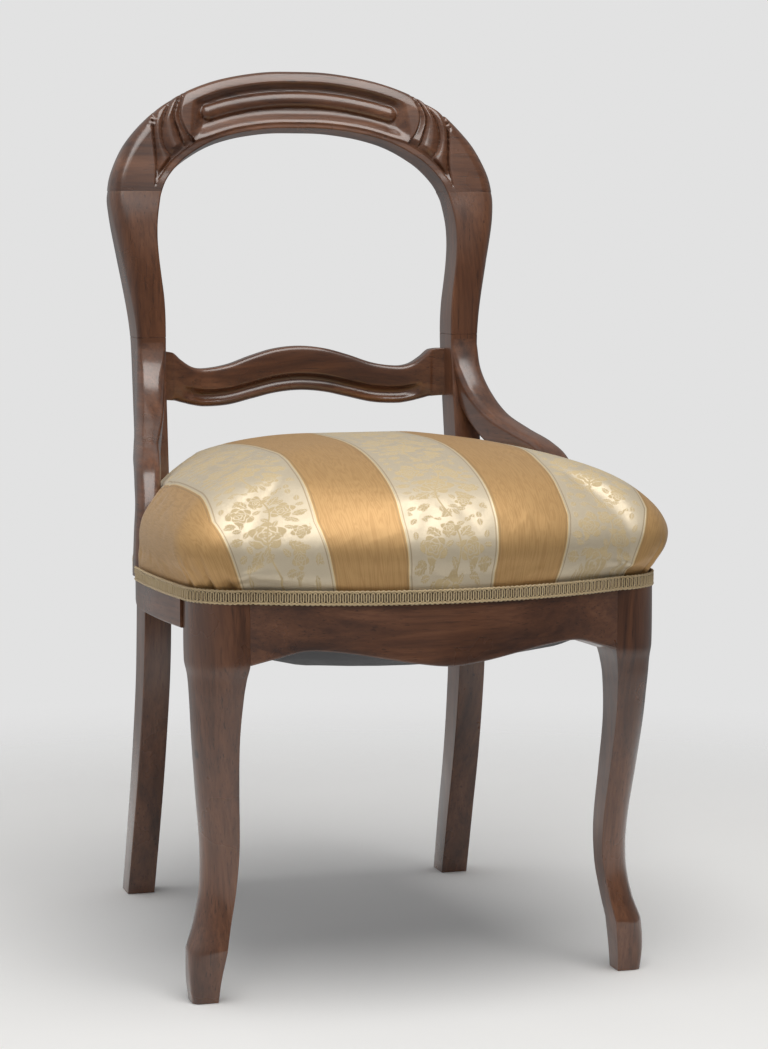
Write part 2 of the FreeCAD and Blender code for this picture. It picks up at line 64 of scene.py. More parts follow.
def add(tree, kind, inputs=None, **settings):
    """A node with its settings; each input is a number, a colour or another node's output."""
    node = tree.nodes.new(kind)
    for key, value in settings.items():
        setattr(node, key, value)
    for key, value in (inputs or {}).items():
        if isinstance(value, bpy.types.NodeSocket):
            tree.links.new(value, node.inputs[key])
        else:
            node.inputs[key].default_value = value
    return node


def calc(tree, operation, *values, clamp=False):
    """The result of one Math node."""
    inputs = {i: value for i, value in enumerate(values)}
    return add(tree, "ShaderNodeMath", inputs, operation=operation, use_clamp=clamp).outputs[0]


def times(tree, product, *others):
    """The product of several values."""
    for other in others:
        product = calc(tree, "MULTIPLY", product, other)
    return product


def step_up(tree, value, low, high, to_low=0.0, to_high=1.0):
    """A value that climbs smoothly from one level to another."""
    inputs = {"Value": value, "From Min": low, "From Max": high, "To Min": to_low, "To Max": to_high}
    return add(tree, "ShaderNodeMapRange", inputs, interpolation_type="SMOOTHSTEP").outputs[0]


def noise(tree, place, scale, detail, roughness=0.5, distortion=0.0):
    """Cloudy values between about 0.2 and 0.8."""
    return add(tree, "ShaderNodeTexNoise", {
        "Vector": place, "Scale": scale, "Detail": detail, "Roughness": roughness,
        "Distortion": distortion}).outputs["Fac"]


def tint(tree, share, first, second):
    """A mix of two colours, each of them three numbers or another node's output."""
    first, second = ((*tone, 1) if isinstance(tone, tuple) else tone for tone in (first, second))
    inputs = {"Factor": share, "A": first, "B": second}
    return add(tree, "ShaderNodeMix", inputs, data_type="RGBA").outputs["Result"]


def new_material(name):
    """An empty material and its tree."""
    material = bpy.data.materials.new(name)
    material.use_nodes = True
    material.node_tree.nodes.clear()
    return material, material.node_tree


def on_piece(tree):
    """A point's place on its piece."""
    return add(tree, "ShaderNodeTexCoord").outputs["Object"]


def surface(tree, shader):
    """Sends a shader to the material's surface."""
    add(tree, "ShaderNodeOutputMaterial", {"Surface": shader.outputs[0]})


def new_piece(name, data):
    """An object at the origin, in the scene."""
    piece = bpy.data.objects.new(name, data)
    scene.collection.objects.link(piece)
    return piece


scene = bpy.context.scene
scene.view_settings.view_transform = "Standard"
camera_data = bpy.data.cameras.new("studio_camera")
camera_data.sensor_width = 36.0
camera_data.lens = CAMERA_LENS
camera = new_piece("studio_camera", camera_data)
camera.location = CAMERA_PLACE
camera.rotation_euler = [math.radians(angle) for angle in CAMERA_TURN]
scene.camera = camera

floor_mesh = bpy.data.meshes.new("studio_floor")
work = bmesh.new()
bmesh.ops.create_circle(work, cap_ends=True, segments=96, radius=FLOOR_RADIUS)
work.to_mesh(floor_mesh)
work.free()
floor = new_piece("studio_floor", floor_mesh)
floor.location = (0, 0, -FLOOR_DROP)

paper, tree = new_material("backdrop_paper")
place = on_piece(tree)
away = add(tree, "ShaderNodeVectorMath", {0: place}, operation="LENGTH").outputs["Value"]
shade = tint(tree, noise(tree, place, 3.0, 3.0), (0.855, 0.855, 0.852), (0.885, 0.885, 0.882))
lit = add(tree, "ShaderNodeBsdfPrincipled", {
    "Base Color": shade, "Roughness": 0.75, "Specular IOR Level": 0.15})
clear = add(tree, "ShaderNodeBsdfTransparent")
fade = step_up(tree, away, FADE_START, FADE_END)
surface(tree, add(tree, "ShaderNodeMixShader", {0: fade, 1: lit.outputs[0], 2: clear.outputs[0]}))
floor_mesh.materials.append(paper)

world = bpy.data.worlds.new("studio")
scene.world = world
world.use_nodes = True
tree = world.node_tree
tree.nodes.clear()
path = add(tree, "ShaderNodeLightPath")
seen = calc(tree, "MAXIMUM", path.outputs["Is Camera Ray"], path.outputs["Is Transmission Ray"])
ray = add(tree, "ShaderNodeSeparateXYZ", {0: add(tree, "ShaderNodeTexCoord").outputs["Generated"]})
dome = step_up(tree, ray.outputs["Z"], -0.2, 0.9, 0.46, 0.74)
side = step_up(tree, ray.outputs["X"], -1.0, 0.3, 1.35, 0.55)
depth = step_up(tree, ray.outputs["Y"], -0.9, 0.1, 0.62, 1.0)
glow = times(tree, dome, side, depth)
strength = add(tree, "ShaderNodeMix", {"Factor": seen, "A": glow, "B": 1.0}, data_type="FLOAT")
lamp = add(tree, "ShaderNodeBackground", {"Color": BACKDROP, "Strength": strength.outputs["Result"]})
tree.links.new(lamp.outputs[0], add(tree, "ShaderNodeOutputWorld").inputs[0])

for name, place, target, size, power, colour in LIGHTS:
    box = bpy.data.lights.new(name, "AREA")
    box.size = size
    box.energy = power
    box.color = colour
    light = new_piece(name, box)
    light.location = place
    light.rotation_mode = "QUATERNION"
    light.rotation_quaternion = (Vector(target) - Vector(place)).to_track_quat("-Z", "Y")


# Back posts: each is one piece of walnut, sawn to a flowing outline and rounded, that is the back leg
# below the seat and the upright above it. The outer and back edges are well rounded above the seat.

DEPTH_SHIFT = -180.3
LEAN = math.radians(12.4)
JOINT_Y, JOINT_Z = 402.0, 752.0
POST_SEAM = 600.0
SEAM_STEPS = (-0.8, -0.35, 0, 0.35, 0.8)
POST_EDGES = (
    (-30, 163.2, 192.6), (0, 163, 192.2), (80, 161.5, 190.5), (160, 160.5, 189.3), (270, 159, 187.5),
    (400, 158, 186.3), (560, 156.6, 185.8), (600, 156, 186.6), (620, 156.2, 188.6), (640, 157.4, 191.8),
    (660, 159.9, 195.6), (680, 162.1, 199.6), (700, 163.2, 203.5), (720, 162.3, 207.2), (740, 159, 209.6),
    (752, 156, 209.8), (769, 147, 205.6))
POST_SIDE = (
    (0, 438, 31), (40, 424, 33), (80, 410.5, 35), (120, 397, 36), (160, 385, 37.5), (200, 375, 39),
    (240, 366.5, 41), (280, 362, 43), (330, 361, 43), (400, 364, 43.5), (480, 374, 43.5), (560, 385.5, 43),
    (600, 388, 43), (640, 388, 43), (680, 388.7, 42), (720, 393.5, 38), (752, 402, 34))


def along(table, key):
    """The row of a table at a key between its rows, on a smooth curve."""
    keys = [row[0] for row in table]
    last = len(table) - 1
    i = min(max(bisect.bisect_right(keys, key) - 1, 0), last - 1)
    rows = [np.array(table[min(max(k, 0), last)], float) for k in (i - 1, i, i + 1, i + 2)]
    gap = rows[2][0] - rows[1][0]
    t = (key - rows[1][0]) / gap
    start = (rows[2] - rows[0]) / max(rows[2][0] - rows[0][0], 1e-9) * gap
    end = (rows[3] - rows[1]) / max(rows[3][0] - rows[1][0], 1e-9) * gap
    a, b = rows[1], rows[2]
    return (2 * a - 2 * b + start + end) * t ** 3 + (3 * b - 3 * a - 2 * start - end) * t ** 2 + start * t + a


def rounded_ring(corners, radii, steps=6):
    """A polygon whose corners are rounded off, each by its own radius, in the polygon's plane."""
    ring = []
    for i, (corner, radius) in enumerate(zip(corners, radii)):
        before = (corners[i - 1] - corner).normalized()
        after = (corners[(i + 1) % len(corners)] - corner).normalized()
        half = before.angle(after) / 2
        reach = radius / math.tan(half)
        centre = corner + (before + after).normalized() * (radius / math.sin(half))
        first = corner + before * reach - centre
        final = corner + after * reach - centre
        ring += [centre + first.slerp(final, k / steps) * radius for k in range(steps + 1)]
    return ring


def tidy_mesh(mesh):
    """Joins doubled points, turns the faces outwards and shades them smooth."""
    work = bmesh.new()
    work.from_mesh(mesh)
    bmesh.ops.remove_doubles(work, verts=work.verts, dist=1e-6)
    bmesh.ops.recalc_face_normals(work, faces=work.faces)
    for face in work.faces:
        face.smooth = True
    work.to_mesh(mesh)
    work.free()


def loft(name, rings, smooth_angle=50.0):
    """A closed mesh through rings of the same number of points, in millimetres, with flat ends."""
    count = len(rings[0])
    points = [tuple(p * MM) for ring in rings for p in ring]
    faces = []
    for start in range(0, len(points) - count, count):
        for k in range(count):
            m = (k + 1) % count
            faces.append((start + k, start + m, start + count + m, start + count + k))
    faces += [tuple(range(count)), tuple(range(len(points) - count, len(points)))]
    mesh = bpy.data.meshes.new(name)
    mesh.from_pydata(points, [], faces)
    piece = new_piece(name, mesh)
    tidy_mesh(mesh)
    mesh.set_sharp_from_angle(angle=math.radians(smooth_angle))
    return piece


def hand_over(piece, node, material):
    """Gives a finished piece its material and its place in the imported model."""
    piece.data.materials.clear()
    piece.data.materials.append(material)
    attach(piece, "root")
    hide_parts(node)


def mirrored(piece):
    """The left piece of a pair, made from the right one."""
    mesh = piece.data.copy()
    mesh.name = piece.name.replace("right", "left")
    work = bmesh.new()
    work.from_mesh(mesh)
    for point in work.verts:
        point.co.x = -point.co.x
    bmesh.ops.reverse_faces(work, faces=work.faces)
    work.to_mesh(mesh)
    work.free()
    return new_piece(mesh.name, mesh)


def hand_over_pair(piece, material):
    """Hands over a right walnut piece and its mirrored left one."""
    for each in (piece, mirrored(piece)):
        hand_over(each, each.name.removesuffix("_wood"), material)


def new_group(name, given, results):
    """An empty shader group, what goes into it by name, and the sockets that take its results."""
    group = bpy.data.node_groups.new(name, "ShaderNodeTree")
    for way, sockets in (("INPUT", given), ("OUTPUT", results)):
        for label, kind in sockets.items():
            group.interface.new_socket(label, in_out=way, socket_type="NodeSocket" + kind)
    return group, group.nodes.new("NodeGroupInput").outputs, group.nodes.new("NodeGroupOutput").inputs


def vector(tree, operation, first, second):
    """The vector result of one Vector Math node; SCALE takes a number as its second value."""
    inputs = {0: first, 3 if operation == "SCALE" else 1: second}
    return add(tree, "ShaderNodeVectorMath", inputs, operation=operation).outputs[0]


def stretch(tree, place, scale):
    """A point with each of its axes scaled."""
    return add(tree, "ShaderNodeMapping", {"Vector": place, "Scale": scale}).outputs[0]


def grain_group():
    """Walnut under old varnish: colour, roughness and height from a point whose X runs with the grain."""
    group, given, results = new_group(
        "walnut_grain", {"Point": "Vector", "Edge": "Float"},
        {"Colour": "Color", "Roughness": "Float", "Height": "Float"})
    point, edge = given["Point"], given["Edge"]
    drift = add(group, "ShaderNodeTexNoise", {"Vector": point, "Scale": 3.0, "Detail": 2.0}).outputs["Color"]
    moved = vector(group, "SCALE", vector(group, "SUBTRACT", drift, (0.5, 0.5, 0.5)), 0.05)
    bent = vector(group, "ADD", point, moved)
    bands = noise(group, stretch(group, bent, (2.2, 26.0, 26.0)), 1.6, 5.0, 0.6, 0.6)
    threads = noise(group, stretch(group, bent, (9.0, 210.0, 210.0)), 1.5, 3.0, 0.65)
    pores = step_up(group, noise(group, stretch(group, point, (45.0, 700.0, 700.0)), 1.0, 1.0), 0.62, 0.74)
    cloud = noise(group, point, 14.0, 4.0)
    spots = add(group, "ShaderNodeTexVoronoi", {"Vector": point, "Scale": 15.0, "Randomness": 1.0})
    rare = step_up(group, noise(group, point, 9.0, 0.0), 0.58, 0.66)
    knot = times(group, step_up(group, spots.outputs["Distance"], 0.03, 0.10, 1.0, 0.0), rare)
    ramp = add(group, "ShaderNodeValToRGB", {"Fac": bands})
    ends = ramp.color_ramp.elements
    ends[0].position, ends[0].color = 0.30, (0.040, 0.0150, 0.0080, 1)
    ends[1].position, ends[1].color = 0.72, (0.200, 0.083, 0.040, 1)
    ends.new(0.5).color = (0.122, 0.047, 0.021, 1)
    worn = times(group, step_up(group, edge, 0.53, 0.60), step_up(group, cloud, 0.42, 0.62))
    grime = step_up(group, edge, 0.47, 0.40)
    dark = step_up(group, threads, 0.35, 0.75, 0.0, 0.55)
    tone = tint(group, dark, ramp.outputs["Color"], (0.055, 0.020, 0.010))
    for mask, share, colour in (
            (pores, 0.55, (0.012, 0.006, 0.005)), (knot, 0.8, (0.014, 0.007, 0.005)),
            (worn, 0.5, (0.27, 0.145, 0.088)), (grime, 0.5, (0.016, 0.008, 0.006))):
        tone = tint(group, times(group, mask, share), tone, colour)
    rough = calc(group, "ADD", step_up(group, cloud, 0.3, 0.75, 0.26, 0.40), times(group, worn, 0.1))
    height = calc(group, "SUBTRACT", times(group, threads, 0.35), pores)
    height = calc(group, "ADD", height, times(group, cloud, 1.6))
    for label, value in (("Colour", tone), ("Roughness", rough), ("Height", height)):
        group.links.new(value, results[label])
    return group


walnut_grain = grain_group()


def finish(tree, height, strength, distance, inputs):
    """The material's surface: a bump of so many millimetres under one shader with these inputs."""
    inputs["Normal"] = add(tree, "ShaderNodeBump", {
        "Height": height, "Strength": strength, "Distance": distance * MM}).outputs[0]
    surface(tree, add(tree, "ShaderNodeBsdfPrincipled", inputs))


def walnut(name, turn, offset=(0, 0, 0)):
    """Varnished walnut whose grain runs along X after the turn."""
    material, tree = new_material(name)
    turned = add(tree, "ShaderNodeMapping", {"Vector": on_piece(tree), "Rotation": turn, "Location": offset})
    edge = add(tree, "ShaderNodeNewGeometry").outputs["Pointiness"]
    inputs = {"Point": turned.outputs[0], "Edge": edge}
    grain = add(tree, "ShaderNodeGroup", inputs, node_tree=walnut_grain).outputs
    finish(tree, grain["Height"], 0.12, 0.4, {
        "Base Color": grain["Colour"], "Roughness": grain["Roughness"], "Coat Weight": 0.7,
        "Coat Roughness": 0.16})
    return material


UPRIGHT = (0.0, math.radians(90), 0.0)
LEVEL = (0.0, 0.0, 0.0)


def post_ring(z):
    """Section of the right back post at a height."""
    y_front, deep = along(POST_SIDE, z)[1:]
    line = 0.5 if abs(z - POST_SEAM) < 0.2 else 0.0
    corners = []
    for y in (y_front, y_front + deep):
        inner, outer = along(POST_EDGES, z + (y - JOINT_Y) * math.tan(LEAN))[1:]
        corners += [(inner + line, y), (outer - line, y)]
    front_in, front_out, back_in, back_out = corners
    points = [Vector((x, y + edge + DEPTH_SHIFT, z)) for (x, y), edge in (
        (front_in, line), (front_out, line), (back_out, -line), (back_in, -line))]
    soft = min(max((z - 385) / 60.0, 0.0), 1.0)
    broad = min(max((z - 610) / 70.0, 0.0), 1.0)
    return rounded_ring(points, (
        1.2 + 0.8 * soft, 1.4 + 2.6 * soft + 10.0 * broad, 1.4 + 6.5 * soft, 1.2 + 2.0 * soft))


post_heights = sorted([JOINT_Z * k / 220 for k in range(221)] + [POST_SEAM + gap for gap in SEAM_STEPS])
right_post = loft("right_back_post_wood", [post_ring(z) for z in post_heights])
hand_over_pair(right_post, walnut("upright_walnut", UPRIGHT))


# Crest rail: one bowed board, cut to the arch of the balloon and carved on its front with a sunk panel,
# a half-round bar and overlapping lobes at each end. It stands on the posts with a level dowelled joint.

BOW_END = 180.0
CREST_BOW = 14.0
HOOP = (
    ((160.5, -18), (209.6, -22)), ((156, 0), (209.8, 0)), ((148.5, 15.5), (205, 24)),
    ((133.5, 32.5), (190, 54)), ((116, 45.2), (168, 78.5)), ((99, 54.6), (140, 99.3)),
    ((82, 61.2), (112, 114)), ((60, 67), (78, 125.8)), ((30, 71.4), (37, 133.6)), ((0, 72.2), (0, 135.2)))
BAR_RADIUS = 290.0
BAR_TOP = 104.5
BAR_END = 99.0
BAR_HALF = 9.2
LOBE_LINES = (
    ((46, 112), (57, 118.5), (66, 125.5), (79, 130.5), (90, 130), (103, 125.5), (112, 121)),
    ((42, 121), (52, 129), (66, 134.5), (79, 138), (90, 136), (103, 130), (112, 125)),
    ((30, 141), (38, 144), (46, 149), (60, 152.5), (76, 150.5), (90, 144.5), (106, 136)),
    ((2, 164), (10, 162), (25, 160.5), (42, 161), (62, 162), (78, 161), (96, 157)))
CREST_THICK = 33.2
BACK_BOW = 1 - 6.7 / CREST_BOW
CREST_STATIONS = 560
PANEL_DEPTH = 7.2
BAR_DEPTH = 1.2
LOBE_DEPTH = 4.0
POCKET_DEPTH = 5.0
CARVING_FOOT = 8.0
GROOVE_DEPTH, GROOVE_HALF = 1.8, 1.6


def smooth_step(value):
    value = min(max(value, 0.0), 1.0)
    return value * value * (3 - 2 * value)


def bow_at(x):
    """How far the crest's front stands back: two equal opposed arcs from the end to the middle."""
    quarter = BOW_END / 2
    radius = (quarter ** 2 + (CREST_BOW / 2) ** 2) / CREST_BOW
    x = abs(x)
    if x >= BOW_END:
        return 0.0
    if x >= quarter:
        return radius - math.sqrt(radius ** 2 - (BOW_END - x) ** 2)
    return CREST_BOW - radius + math.sqrt(radius ** 2 - x ** 2)


def bar_distance(x, v):
    """Distance from the middle line of the panel's bar, which is an arc with a stop at each end."""
    centre = BAR_TOP - BAR_RADIUS
    limit = math.asin(BAR_END / BAR_RADIUS)
    angle = min(max(math.atan2(x, v - centre), -limit), limit)
    return math.hypot(x - BAR_RADIUS * math.sin(angle), v - centre - BAR_RADIUS * math.cos(angle))


def panel_face(x, v, above, from_outer):
    """Depth of the sunk panel, or of the bar that stands in it."""
    ends = smooth_step((119.5 - 0.12 * (v - 84) - abs(x)) / 15.0)
    ground = PANEL_DEPTH * ends * smooth_step(above / 15.0) * smooth_step((from_outer - 12.5) / 6.5)
    near = bar_distance(x, v)
    if near >= BAR_HALF:
        return ground
    return min(ground, BAR_DEPTH + (BAR_HALF - math.sqrt(BAR_HALF ** 2 - near ** 2)) * 0.85)


def lobe_face(k, u, above):
    """Depth of one of the three lobes at a share of its width; its foot falls to a pocket."""
    if k == 0:
        lobe = 0.2 + 3.2 * (1 - u) ** 1.2 * smooth_step(u / 0.16) + 1.6 * smooth_step((u - 0.86) / 0.14)
    elif k == 1:
        lobe = 0.2 + 4.0 * abs(2 * u - 1) ** 2.2
    else:
        lobe = 0.3 + 3.4 * abs(2 * u - 0.9) ** 2.2
    share = smooth_step((above - 0.5) / (9.0 if k < 2 else 5.0))
    return POCKET_DEPTH + (min(lobe, LOBE_DEPTH) - POCKET_DEPTH) * share


def carving(x, v, from_inner, from_outer):
    """Depth of the crest's carving at a point of its front."""
    far = abs(x)
    lines = [along(line, v)[1] for line in LOBE_LINES]
    if far > lines[3] or v < CARVING_FOOT:
        groove = max(0.0, 1.0 - abs(far - lines[3]) / GROOVE_HALF)
        return GROOVE_DEPTH * (groove * smooth_step((v - 4) / 8.0))
    above = from_inner - (5.6 + 3.0 * smooth_step((far - 95) / 25.0))
    rising = smooth_step((v - CARVING_FOOT) / 16.0)
    if above < 0:
        arris = 0.9 - 0.8 * math.exp(-(above / 0.9) ** 2)
        return arris * smooth_step((lines[3] - far) / 6.0) * rising
    rolled = 0.02 * max(14.0 - from_outer, 0.0) ** 2 * smooth_step((lines[3] - far) / 14.0)
    if far < lines[0]:
        return panel_face(x, v, above, from_outer) + rolled
    for k in range(3):
        if lines[k] <= far <= lines[k + 1]:
            u = (far - lines[k]) / (lines[k + 1] - lines[k])
            return lobe_face(k, u, above) * rising + rolled
    return 0.0


def roll(distance, radius):
    """Depth that a rounded edge adds at a distance from it."""
    if distance >= radius:
        return 0.0
    return radius - math.sqrt(max(radius ** 2 - (radius - distance) ** 2, 0.0))


def eased_steps(width, low_radius, high_radius, count):
    """Distances across a face, close together where its two edges are rounded."""
    turns = 5
    low = [low_radius * (1 - math.cos(math.pi / 2 * k / turns)) for k in range(turns)]
    high = [width - d for d in reversed(
        [high_radius * (1 - math.cos(math.pi / 2 * k / turns)) for k in range(turns)])]
    start, end = low_radius, width - high_radius
    return low + [start + (end - start) * k / count for k in range(count + 1)] + high


def board_ring(low, high, back, thick, radii, relief, count):
    """Section of a board: its front from the low to the high edge, then round the back.

    radii are those of the front's low and high edges and of the back's high and low edges.
    """
    across = high - low
    width = across.length
    across.normalize()
    ring = []
    for s in eased_steps(width, radii[0], radii[1], count):
        depth = relief(s, width - s) + roll(s, radii[0]) + roll(width - s, radii[1])
        ring.append(low + across * s + back * depth)
    high_front = relief(width, 0.0) + radii[1]
    low_front = relief(0.0, width) + radii[0]
    for k in range(1, 5):
        depth = high_front + (thick - radii[2] - high_front) * k / 5
        ring.append(high + back * depth)
    for s in reversed(eased_steps(width, radii[3], radii[2], 8)):
        depth = thick - roll(width - s, radii[2]) - roll(s, radii[3])
        ring.append(low + across * s + back * depth)
    for k in range(1, 5):
        depth = thick - radii[3] - (thick - radii[3] - low_front) * k / 5
        ring.append(low + back * depth)
    return ring


def crest_place(x, v, depth):
    """A point of the leaning crest from its place on the upright board."""
    y = JOINT_Y + depth * math.cos(LEAN) + v * math.sin(LEAN) + DEPTH_SHIFT
    z = JOINT_Z + v * math.cos(LEAN) - depth * math.sin(LEAN)
    return Vector((x, y, z))


def crest_ring(low_x, low_v, high_x, high_v):
    """Section of the crest from a point of its inner edge to one of its outer edge."""
    def relief(s, rest):
        share = s / (s + rest)
        x = low_x + (high_x - low_x) * share
        v = low_v + (high_v - low_v) * share
        return bow_at(x) + carving(x, v, s, rest)

    thick = CREST_THICK + bow_at((low_x + high_x) / 2) * BACK_BOW
    shoulder = 4.0 + 10.0 * smooth_step((abs(high_x) - 140) / 45.0)
    low, high = crest_place(low_x, low_v, 0), crest_place(high_x, high_v, 0)
    return board_ring(low, high, crest_back, thick, (1.2, shoulder, 8.0, 2.5), relief, 74)


crest_back = crest_place(0, 0, 1) - crest_place(0, 0, 0)
half_hoop = len(HOOP) - 1
hoop_rows = [(i, a[0], a[1], b[0], b[1]) for i, (a, b) in enumerate(HOOP)]
hoop_rows += [(2 * half_hoop - i, -a, b, -c, d) for i, a, b, c, d in hoop_rows[-2::-1]]
crest_rings = [crest_ring(*along(hoop_rows, 2 * half_hoop * k / CREST_STATIONS)[1:])
               for k in range(CREST_STATIONS + 1)]
crest = loft("crest_rail_wood", crest_rings, 60.0)
work = bmesh.new()
work.from_mesh(crest.data)
every = list(work.verts) + list(work.edges) + list(work.faces)
joint = bmesh.ops.bisect_plane(
    work, geom=every, dist=1e-7, plane_co=(0, 0, JOINT_Z * MM), plane_no=(0, 0, -1), clear_outer=True)
cut_edges = [part for part in joint["geom_cut"] if isinstance(part, bmesh.types.BMEdge)]
bmesh.ops.edgeloop_fill(work, edges=cut_edges)
bmesh.ops.recalc_face_normals(work, faces=work.faces)
work.to_mesh(crest.data)
work.free()
level_walnut = walnut("level_walnut", LEVEL, (0.37, 0.11, 0.2))
hand_over(crest, "crest_rail", level_walnut)


# Middle rail: a waved board between the posts, bowed to the sitter's back, with a hollow worked along
# its lower edge that dies out before the flat ends. Its tenons are glued into the posts.

MID_RAIL = (
    (0, 587.5, 540.3), (27, 585, 538), (53, 578, 532.3), (80, 569, 526.3), (107, 565.2, 525),
    (121, 567.5, 527), (133, 575, 530), (143, 583, 532.5), (170, 584, 534))
MID_THICK = 18.0
MID_END_X, MID_END_Y = 170.0, 408.0
MID_MIDDLE_Y = 430.0
HOLLOW_EDGE, HOLLOW_WIDTH, HOLLOW_DEPTH = 5.5, 13.0, 5.2
FLAT_SINK = 1.2


def mid_front(x):
    """Depth of the middle rail's front, on one arc from post to post."""
    rise = MID_MIDDLE_Y - MID_END_Y
    radius = (MID_END_X ** 2 + rise ** 2) / (2 * rise)
    return MID_MIDDLE_Y - radius + math.sqrt(radius ** 2 - x ** 2) + DEPTH_SHIFT


mid_table = [(-x, high, low) for x, high, low in reversed(MID_RAIL[1:])] + list(MID_RAIL)
mid_rings = []
for k in range(241):
    x = -157.5 + 315.0 * k / 240
    row = along(mid_table, x)
    fade = smooth_step((135 - abs(x)) / 22.0)
    flat = smooth_step((abs(x) - 141) / 3.0)

    def mid_relief(s, rest, fade=fade, flat=flat):
        share = (s - HOLLOW_EDGE) / HOLLOW_WIDTH
        hollow = HOLLOW_DEPTH * fade * math.sin(math.pi * min(max(share, 0.0), 1.0)) ** 0.8
        crown = 1.5 * (1 - flat) * (abs(2 * s / (s + rest) - 1)) ** 3
        return hollow + crown + FLAT_SINK * flat

    low, high = (Vector((x, mid_front(x), z)) for z in (row[2], row[1]))
    radii = (2.6 * (1 - flat) + 0.8, 3.2 * (1 - flat) + 0.8, 3.0, 3.0)
    mid_rings.append(board_ring(low, high, Vector((0, 1, 0)), MID_THICK, radii, mid_relief, 40))
mid = loft("mid_rail_wood", mid_rings)
hand_over(mid, "mid_rail", level_walnut)


# Hip braces: carved walnut arms that spring from the posts below the middle rail and sweep down and
# forwards to a foot on each side rail. They are screwed at both ends.

BRACE_LINE = (
    (0, 171, 402.5, 604, 29.4, 27), (1, 171.6, 399, 582, 29.6, 27), (2, 174, 389, 556, 29, 29),
    (3, 179.5, 366, 527.5, 29, 33), (4, 188, 331, 504, 28, 34), (5, 199, 287, 490.5, 27, 32),
    (6, 208, 243, 481, 26, 30), (7, 214, 213, 469, 25, 28), (8, 218, 195, 447, 23, 26),
    (9, 223, 185, 418, 20, 26), (10, 227, 180, 377.6, 17, 27))
brace_rings = []
last = len(BRACE_LINE) - 1
for k in range(121):
    at = last * k / 120
    row = along(BRACE_LINE, at)
    here, after, before = (Vector(along(BRACE_LINE, min(max(spot, 0.0), last))[1:4])
                           for spot in (at, at + 0.05, at - 0.05))
    ahead = (after - before).normalized()
    ahead = ahead.lerp(Vector((0, 0, -1)), smooth_step(at - last + 1)).normalized()
    across = (Vector((1, 0, 0)) - ahead * ahead.x).normalized()
    upward = across.cross(ahead)
    wide, high = row[4] / 2, row[5] / 2
    middle = here + Vector((0, DEPTH_SHIFT, 0))
    corners = [middle + across * i * wide + upward * j * high
               for i, j in ((-1, -1), (1, -1), (1, 1), (-1, 1))]
    soft = smooth_step((at - 0.8) / 1.6)
    brace_rings.append(rounded_ring(corners, (3.0 + 5.5 * soft, 4.5 + 4.5 * soft, 8.5, 7.0)))
right_brace = loft("right_hip_brace_wood", brace_rings)
hand_over_pair(right_brace, walnut("swept_walnut", (0.0, 0.0, math.radians(80)), (0.2, 0.5, 0.1)))


# Front legs: square cabriole legs, each sawn from one block, with the outer front corner worked to one
# broad round and the two inner faces left flat. The foot swells to a ridge and tapers to the floor.

FRONT_LEG = (
    (0, 209.9, 1.5, 24.2, 23.5), (20, 210.2, -0.6, 28.2, 27), (50, 208.3, -5.6, 33.6, 30.6),
    (72, 202.3, -1.2, 30.5, 28), (105, 196.2, 0.6, 30.3, 26.2), (145, 194.9, -2.6, 32.3, 28.3),
    (200, 198.8, -11, 35.2, 32.3), (250, 201.9, -19.4, 38, 36.6), (290, 202.2, -24.6, 42, 43.5),
    (308, 201.6, -25.0, 45, 50), (322, 201.4, -24.9, 49.6, 56.6), (392, 201.5, -24.8, 49, 57))
FOOT_RIDGE = 50.0
SHOW_TOP = 377.5


def leg_ring(z):
    """Section of the right front leg at a height."""
    table = FRONT_LEG[:3] if z <= FOOT_RIDGE else FRONT_LEG[2:]
    x, y, wide, deep = along(table, z)[1:]
    x0, x1, y0, y1 = x - wide / 2, x + wide / 2, y - deep / 2, y + deep / 2
    corners = [Vector((a, b + DEPTH_SHIFT, z)) for a, b in ((x0, y0), (x1, y0), (x1, y1), (x0, y1))]
    share = 0.9 if z >= FOOT_RIDGE else 0.3 + 0.6 * (z / FOOT_RIDGE) ** 2
    return rounded_ring(corners, (1.2, share * min(wide, deep), 1.2, 1.2), 12)


leg_heights = [FOOT_RIDGE * k / 14 for k in range(14)]
leg_heights += [FOOT_RIDGE + (SHOW_TOP - FOOT_RIDGE) * k / 110 for k in range(111)]
right_leg = loft("right_front_leg_wood", [leg_ring(z) for z in leg_heights], 40.0)
hand_over_pair(right_leg, walnut("leg_walnut", UPRIGHT, (0.1, 0.3, 0.7)))


# Seat rails: four walnut rails tenoned into the legs. The front one is bowed and sawn to a waved lower
# edge, and the side ones follow the curve of the seat's plan. All are rebated under the cover.

SEAT_PLAN = (
    (0, -99), (177, -53.5), (211.5, -38.5), (227, -5), (236, 70), (238.5, 150), (216, 262), (187, 362),
    (172, 391), (150, 402))
SEAT_MIDDLE_Y = 155.0
RAIL_LOW = 350.0
RAIL_THICK = 26.0
FRONT_SCALLOP = ((0, 319.5), (32, 322.8), (66, 328.7), (98, 333.6), (130, 335), (157, 327.5), (178, 320.5))


def arc_points(a, b, c, count):
    """Points on the arc through three points of the plan."""
    (ax, ay), (bx, by), (cx, cy) = a, b, c
    d = 2 * (ax * (by - cy) + bx * (cy - ay) + cx * (ay - by))
    aa, bb, cc = ax * ax + ay * ay, bx * bx + by * by, cx * cx + cy * cy
    ox = (aa * (by - cy) + bb * (cy - ay) + cc * (ay - by)) / d
    oy = (aa * (cx - bx) + bb * (ax - cx) + cc * (bx - ax)) / d
    radius = math.hypot(ax - ox, ay - oy)
    start = math.atan2(ay - oy, ax - ox)
    sweep = (math.atan2(cy - oy, cx - ox) - start + math.pi) % (2 * math.pi) - math.pi
    angles = [start + sweep * k / count for k in range(count)]
    return [(ox + radius * math.cos(angle), oy + radius * math.sin(angle)) for angle in angles]


